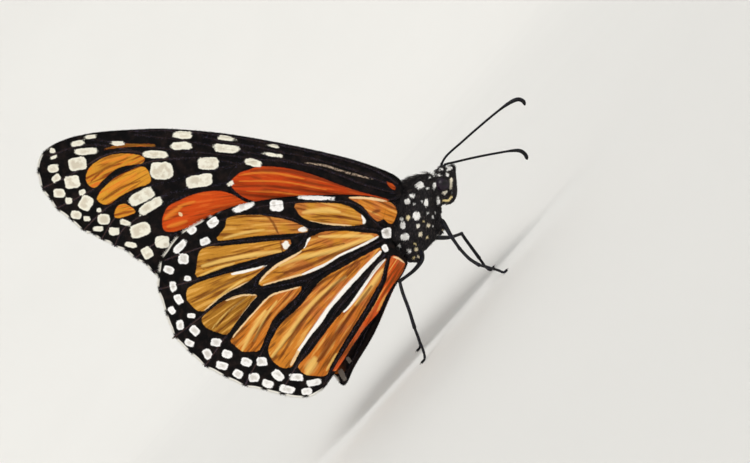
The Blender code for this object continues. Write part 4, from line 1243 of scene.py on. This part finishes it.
def antenna(name, route, node, material):
    """A ringed shaft on a round base, swelling into a hooked club."""
    line = spline(route, 0.07)
    place = np.linspace(0, 1, len(line))
    length = np.concatenate([[0], np.cumsum(np.linalg.norm(np.diff(line, axis=0), axis=1))])
    club = smooth_step(place, 0.7, 0.9)
    girth = (FEELER_GIRTH + CLUB_SWELL * club) * np.sqrt(np.clip((1 - place) / 0.03, 0.08, 1))
    ring = np.abs(np.sin(np.pi * length / (RING_LENGTH - RING_SHORTER * club)))
    shape = Shape()
    shape.add(*tube(line, girth * (0.9 + 0.1 * ring**0.5), 14))
    shape.add(*ball(line[3], FEELER_BASE, 18, 12))
    shape.add(*ball(line[9], FEELER_SECOND, 16, 10))
    piece(name, shape.all_points(), shape.faces, material, (node,))


def tongue(node, material):
    """The tongue, coiled like a watch spring between the palps."""
    share = np.linspace(0, 1, 160)
    reach = 0.12 + 0.27 * share
    turn = 2 * np.pi * TONGUE_TURNS * share
    coil = [reach * np.cos(turn), 0.04 * np.sin(turn * 0.5), reach * np.sin(turn)]
    line = face_place(*TONGUE_AT) + np.stack(coil, 1)
    points, faces = tube(line, 0.035 + 0.025 * share, 10, up=(0, 1, 0))
    piece("tongue", points, faces, material, (node,))


# ---- stage

def backdrop():
    """A pale round floor that curves up far away on every side, so that no edge shows."""
    flat, bend, top = 1.0, 0.6, 2.0
    profile = [(0.3, 0.0), (flat, 0.0)]
    for i in range(1, 25):
        turn = math.pi / 2 * i / 24
        profile.append((flat + bend * math.sin(turn), bend * (1 - math.cos(turn))))
    profile.append((flat + bend, top))
    mesh = new_mesh("floor", *lathe(profile, 96, 0))
    g = Graph("floor_pale")
    cloud = g.noise(g.place(0.01), 2)
    colour = g.mix(cloud, paint(222, 221, 218), paint(226, 225, 222))
    mesh.materials.append(g.surface(colour, 0.9, 0.1))
    floor = new_object("floor", mesh)
    floor.visible_shadow = False


def sun(name, way, angle, power, colour=(1, 1, 1)):
    """A broad soft lamp that shines from `way`."""
    light = bpy.data.lights.new(name, "SUN")
    light.angle = math.radians(angle)
    light.energy = power
    light.color = colour
    new_object(name, light).rotation_euler = Vector(way).to_track_quat("Z", "Y").to_euler()


def lights():
    sun("key", (-0.1, -0.7, 1.0), 30, 1.6, (1, 0.98, 0.95))
    sun("fill", (0.7, -0.9, 0.35), 40, 0.55, (0.95, 0.98, 1))
    sun("back", (-0.2, 0.9, 0.7), 35, 0.6)
    world = bpy.data.worlds.new("studio")
    world.use_nodes = True
    sky = world.node_tree.nodes["Background"].inputs
    sky["Color"].default_value = (0.93, 0.96, 1.0, 1)
    sky["Strength"].default_value = 0.42
    bpy.context.scene.world = world
    bpy.context.scene.view_settings.view_transform = "Standard"


def camera():
    """Looks along +Y, a little from the front and above, and rolled with the photo's view."""
    roll, yaw, rise = math.radians(48), math.radians(5), math.radians(2)
    distance = 0.285
    target = Vector((0.00128, 0, 0.01622))
    level = Vector((math.cos(yaw), math.sin(yaw), 0))
    flat = math.cos(rise)
    ahead = Vector((-math.sin(yaw) * flat, math.cos(yaw) * flat, -math.sin(rise)))
    upright = level.cross(ahead)
    right = level * math.cos(roll) - upright * math.sin(roll)
    top = level * math.sin(roll) + upright * math.cos(roll)
    lens = bpy.data.cameras.new("camera")
    lens.lens = 100
    lens.sensor_width = 36
    lens.clip_start = 0.01
    lens.clip_end = 20
    made = new_object("camera", lens)
    axes = Matrix((right, top, -ahead)).transposed().to_4x4()
    made.matrix_world = Matrix.Translation(target - ahead * distance) @ axes
    bpy.context.scene.camera = made


# ---- building

def build_wings():
    fore_stops = [
        (0.15, paint(120, 72, 24)), (0.38, paint(222, 154, 48)), (0.62, paint(202, 100, 28)),
        (0.82, paint(206, 74, 20)), (1.0, paint(172, 48, 16)),
    ]
    hind_stops = [
        (0.05, paint(146, 98, 30)), (0.22, paint(200, 138, 48)), (0.36, paint(208, 134, 44)),
        (0.52, paint(196, 98, 32)), (0.88, paint(206, 78, 26)),
    ]
    # Painted shade of the furrows, painted highlight of the ridges, painted highlight and painted shade
    # of the light and dark streaks, and blush
    fore_painted_fold_light_and_blush = (
        paint(138, 54, 18), paint(222, 102, 36), paint(226, 134, 46), paint(112, 44, 18),
        paint(196, 84, 34),
    )
    hind_painted_fold_light_and_blush = (
        paint(116, 62, 22), paint(228, 172, 86), paint(242, 200, 112), paint(98, 46, 18),
        paint(186, 98, 56),
    )
    fore_scales = wing_material(
        "forewing_scales", fore_stops, fore_painted_fold_light_and_blush, paint(240, 236, 220), paint(206, 194, 172)
    )
    hind_scales = wing_material(
        "hindwing_scales", hind_stops, hind_painted_fold_light_and_blush, paint(250, 248, 246), paint(200, 194, 186)
    )
    pattern = (FOREWING_PATCHES, FOREWING_STREAKS, FOREWING_SPOTS)
    layout = wing_layout(FOREWING_EDGE, FOREWING_VEINS, pattern, forewing_outer)
    for side in (-1, 1):
        wing(side, "forewing", layout, forewing_offset, fore_scales)
    for side, rear, more_spots, pose in (
        (-1, RIGHT_REAR, [], ()),
        (1, LEFT_REAR, LEFT_TAIL_SPOTS, (LEFT_HIND_TURN, LEFT_HIND_SHIFT)),
    ):
        pattern = (HINDWING_PATCHES, HINDWING_STREAKS, HINDWING_SPOTS + more_spots)
        layout = wing_layout(HINDWING_FRONT + rear, HINDWING_VEINS, pattern, hindwing_outer)
        wing(side, "hindwing", layout, hindwing_offset, hind_scales, *pose)


def hairy_thorax(places):
    return ~on_head(places) & (places[:, 0] > COAT_END_X)


def hairy_abdomen(places):
    return places[:, 0] <= COAT_END_X


def hairy_head(places):
    """The head, apart from the eyes."""
    ahead, up = head_frame(places)
    from_eye = np.stack([ahead, np.abs(places[:, 1]), up], 1) - EYE_AT
    return on_head(places) & (np.linalg.norm(from_eye / EYE_SIZE, axis=1) > 1.06)


def build_body():
    points, faces = body_skin()
    mark, warm = mark_fields(points)
    flesh = ("head", "thorax", "abdomen", "palp_left", "palp_right", "foreleg_left", "foreleg_right")
    piece("body_skin", points, faces, skin_material(), flesh,
          {"mark": mark, "warm": warm})
    hair = coat_material()
    rng = np.random.default_rng(21)

    roots, ways = scatter(points, faces, hairy_thorax, rng, 0.135)
    back = smooth_step(ways[:, 2], 0.1, 0.9)
    lie = np.stack([-np.ones(len(roots)), np.zeros(len(roots)), -0.6 * (1 - back)], 1)
    length = (0.36 + 0.5 * back) * (1 - 0.3 * smooth_step(mark_fields(roots)[0], -0.25, 0))
    tufts("coat_thorax", roots, ways, lie, length, 0.085, 0.4 + 0.3 * back, rng, hair,
          unwrapped(8.0, 18.8, 14.0))

    roots, ways = scatter(points, faces, hairy_head, rng, 0.12)
    ahead, up = head_frame(roots)
    palp = smooth_step(ahead, 1.9, 2.3)
    lie = np.stack([-0.6 + 0.9 * palp, np.zeros(len(roots)), 0.3 + 0.7 * palp], 1)
    crown = smooth_step(up, 1.6, 2.6)
    tufts("coat_head", roots, ways, lie, 0.26 + 0.14 * crown, 0.065, 0.36 + 0.2 * crown, rng, hair,
          unwrapped(16.0, 23.0, 13.4))

    roots, ways = scatter(points, faces, hairy_abdomen, rng, 0.17)
    tufts("coat_abdomen", roots, ways, (-1, 0, -0.1), 0.27, 0.12, 0.12, rng, hair,
          unwrapped(-10.5, 9.2, 11.3))


def build_limbs():
    horn = horn_material()
    lens = eye_material()
    for side, word, mid, hind, feeler, knees in (
        (-1, "right", MIDLEG_RIGHT, HINDLEG_RIGHT, ANTENNA_RIGHT, (2, 4)),
        (1, "left", MIDLEG_LEFT, HINDLEG_LEFT, ANTENNA_LEFT, (2, 5)),
    ):
        middle = face_place(EYE_AT[0], side * EYE_AT[1], EYE_AT[2])
        points, faces = ball(middle, EYE_SIZE, 64, 40, HEAD_NOD)
        piece(f"{word}_eye", points, faces, lens, (f"eye_{word}",))
        leg(f"{word}_midleg", mid, *knees, f"midleg_{word}", horn)
        leg(f"{word}_hindleg", hind, 3, 6, f"hindleg_{word}", horn)
        antenna(f"{word}_antenna", feeler, f"antenna_{word}", horn)
    tongue("proboscis", tongue_material())


camera()
backdrop()
lights()
build_wings()
build_body()
build_limbs()
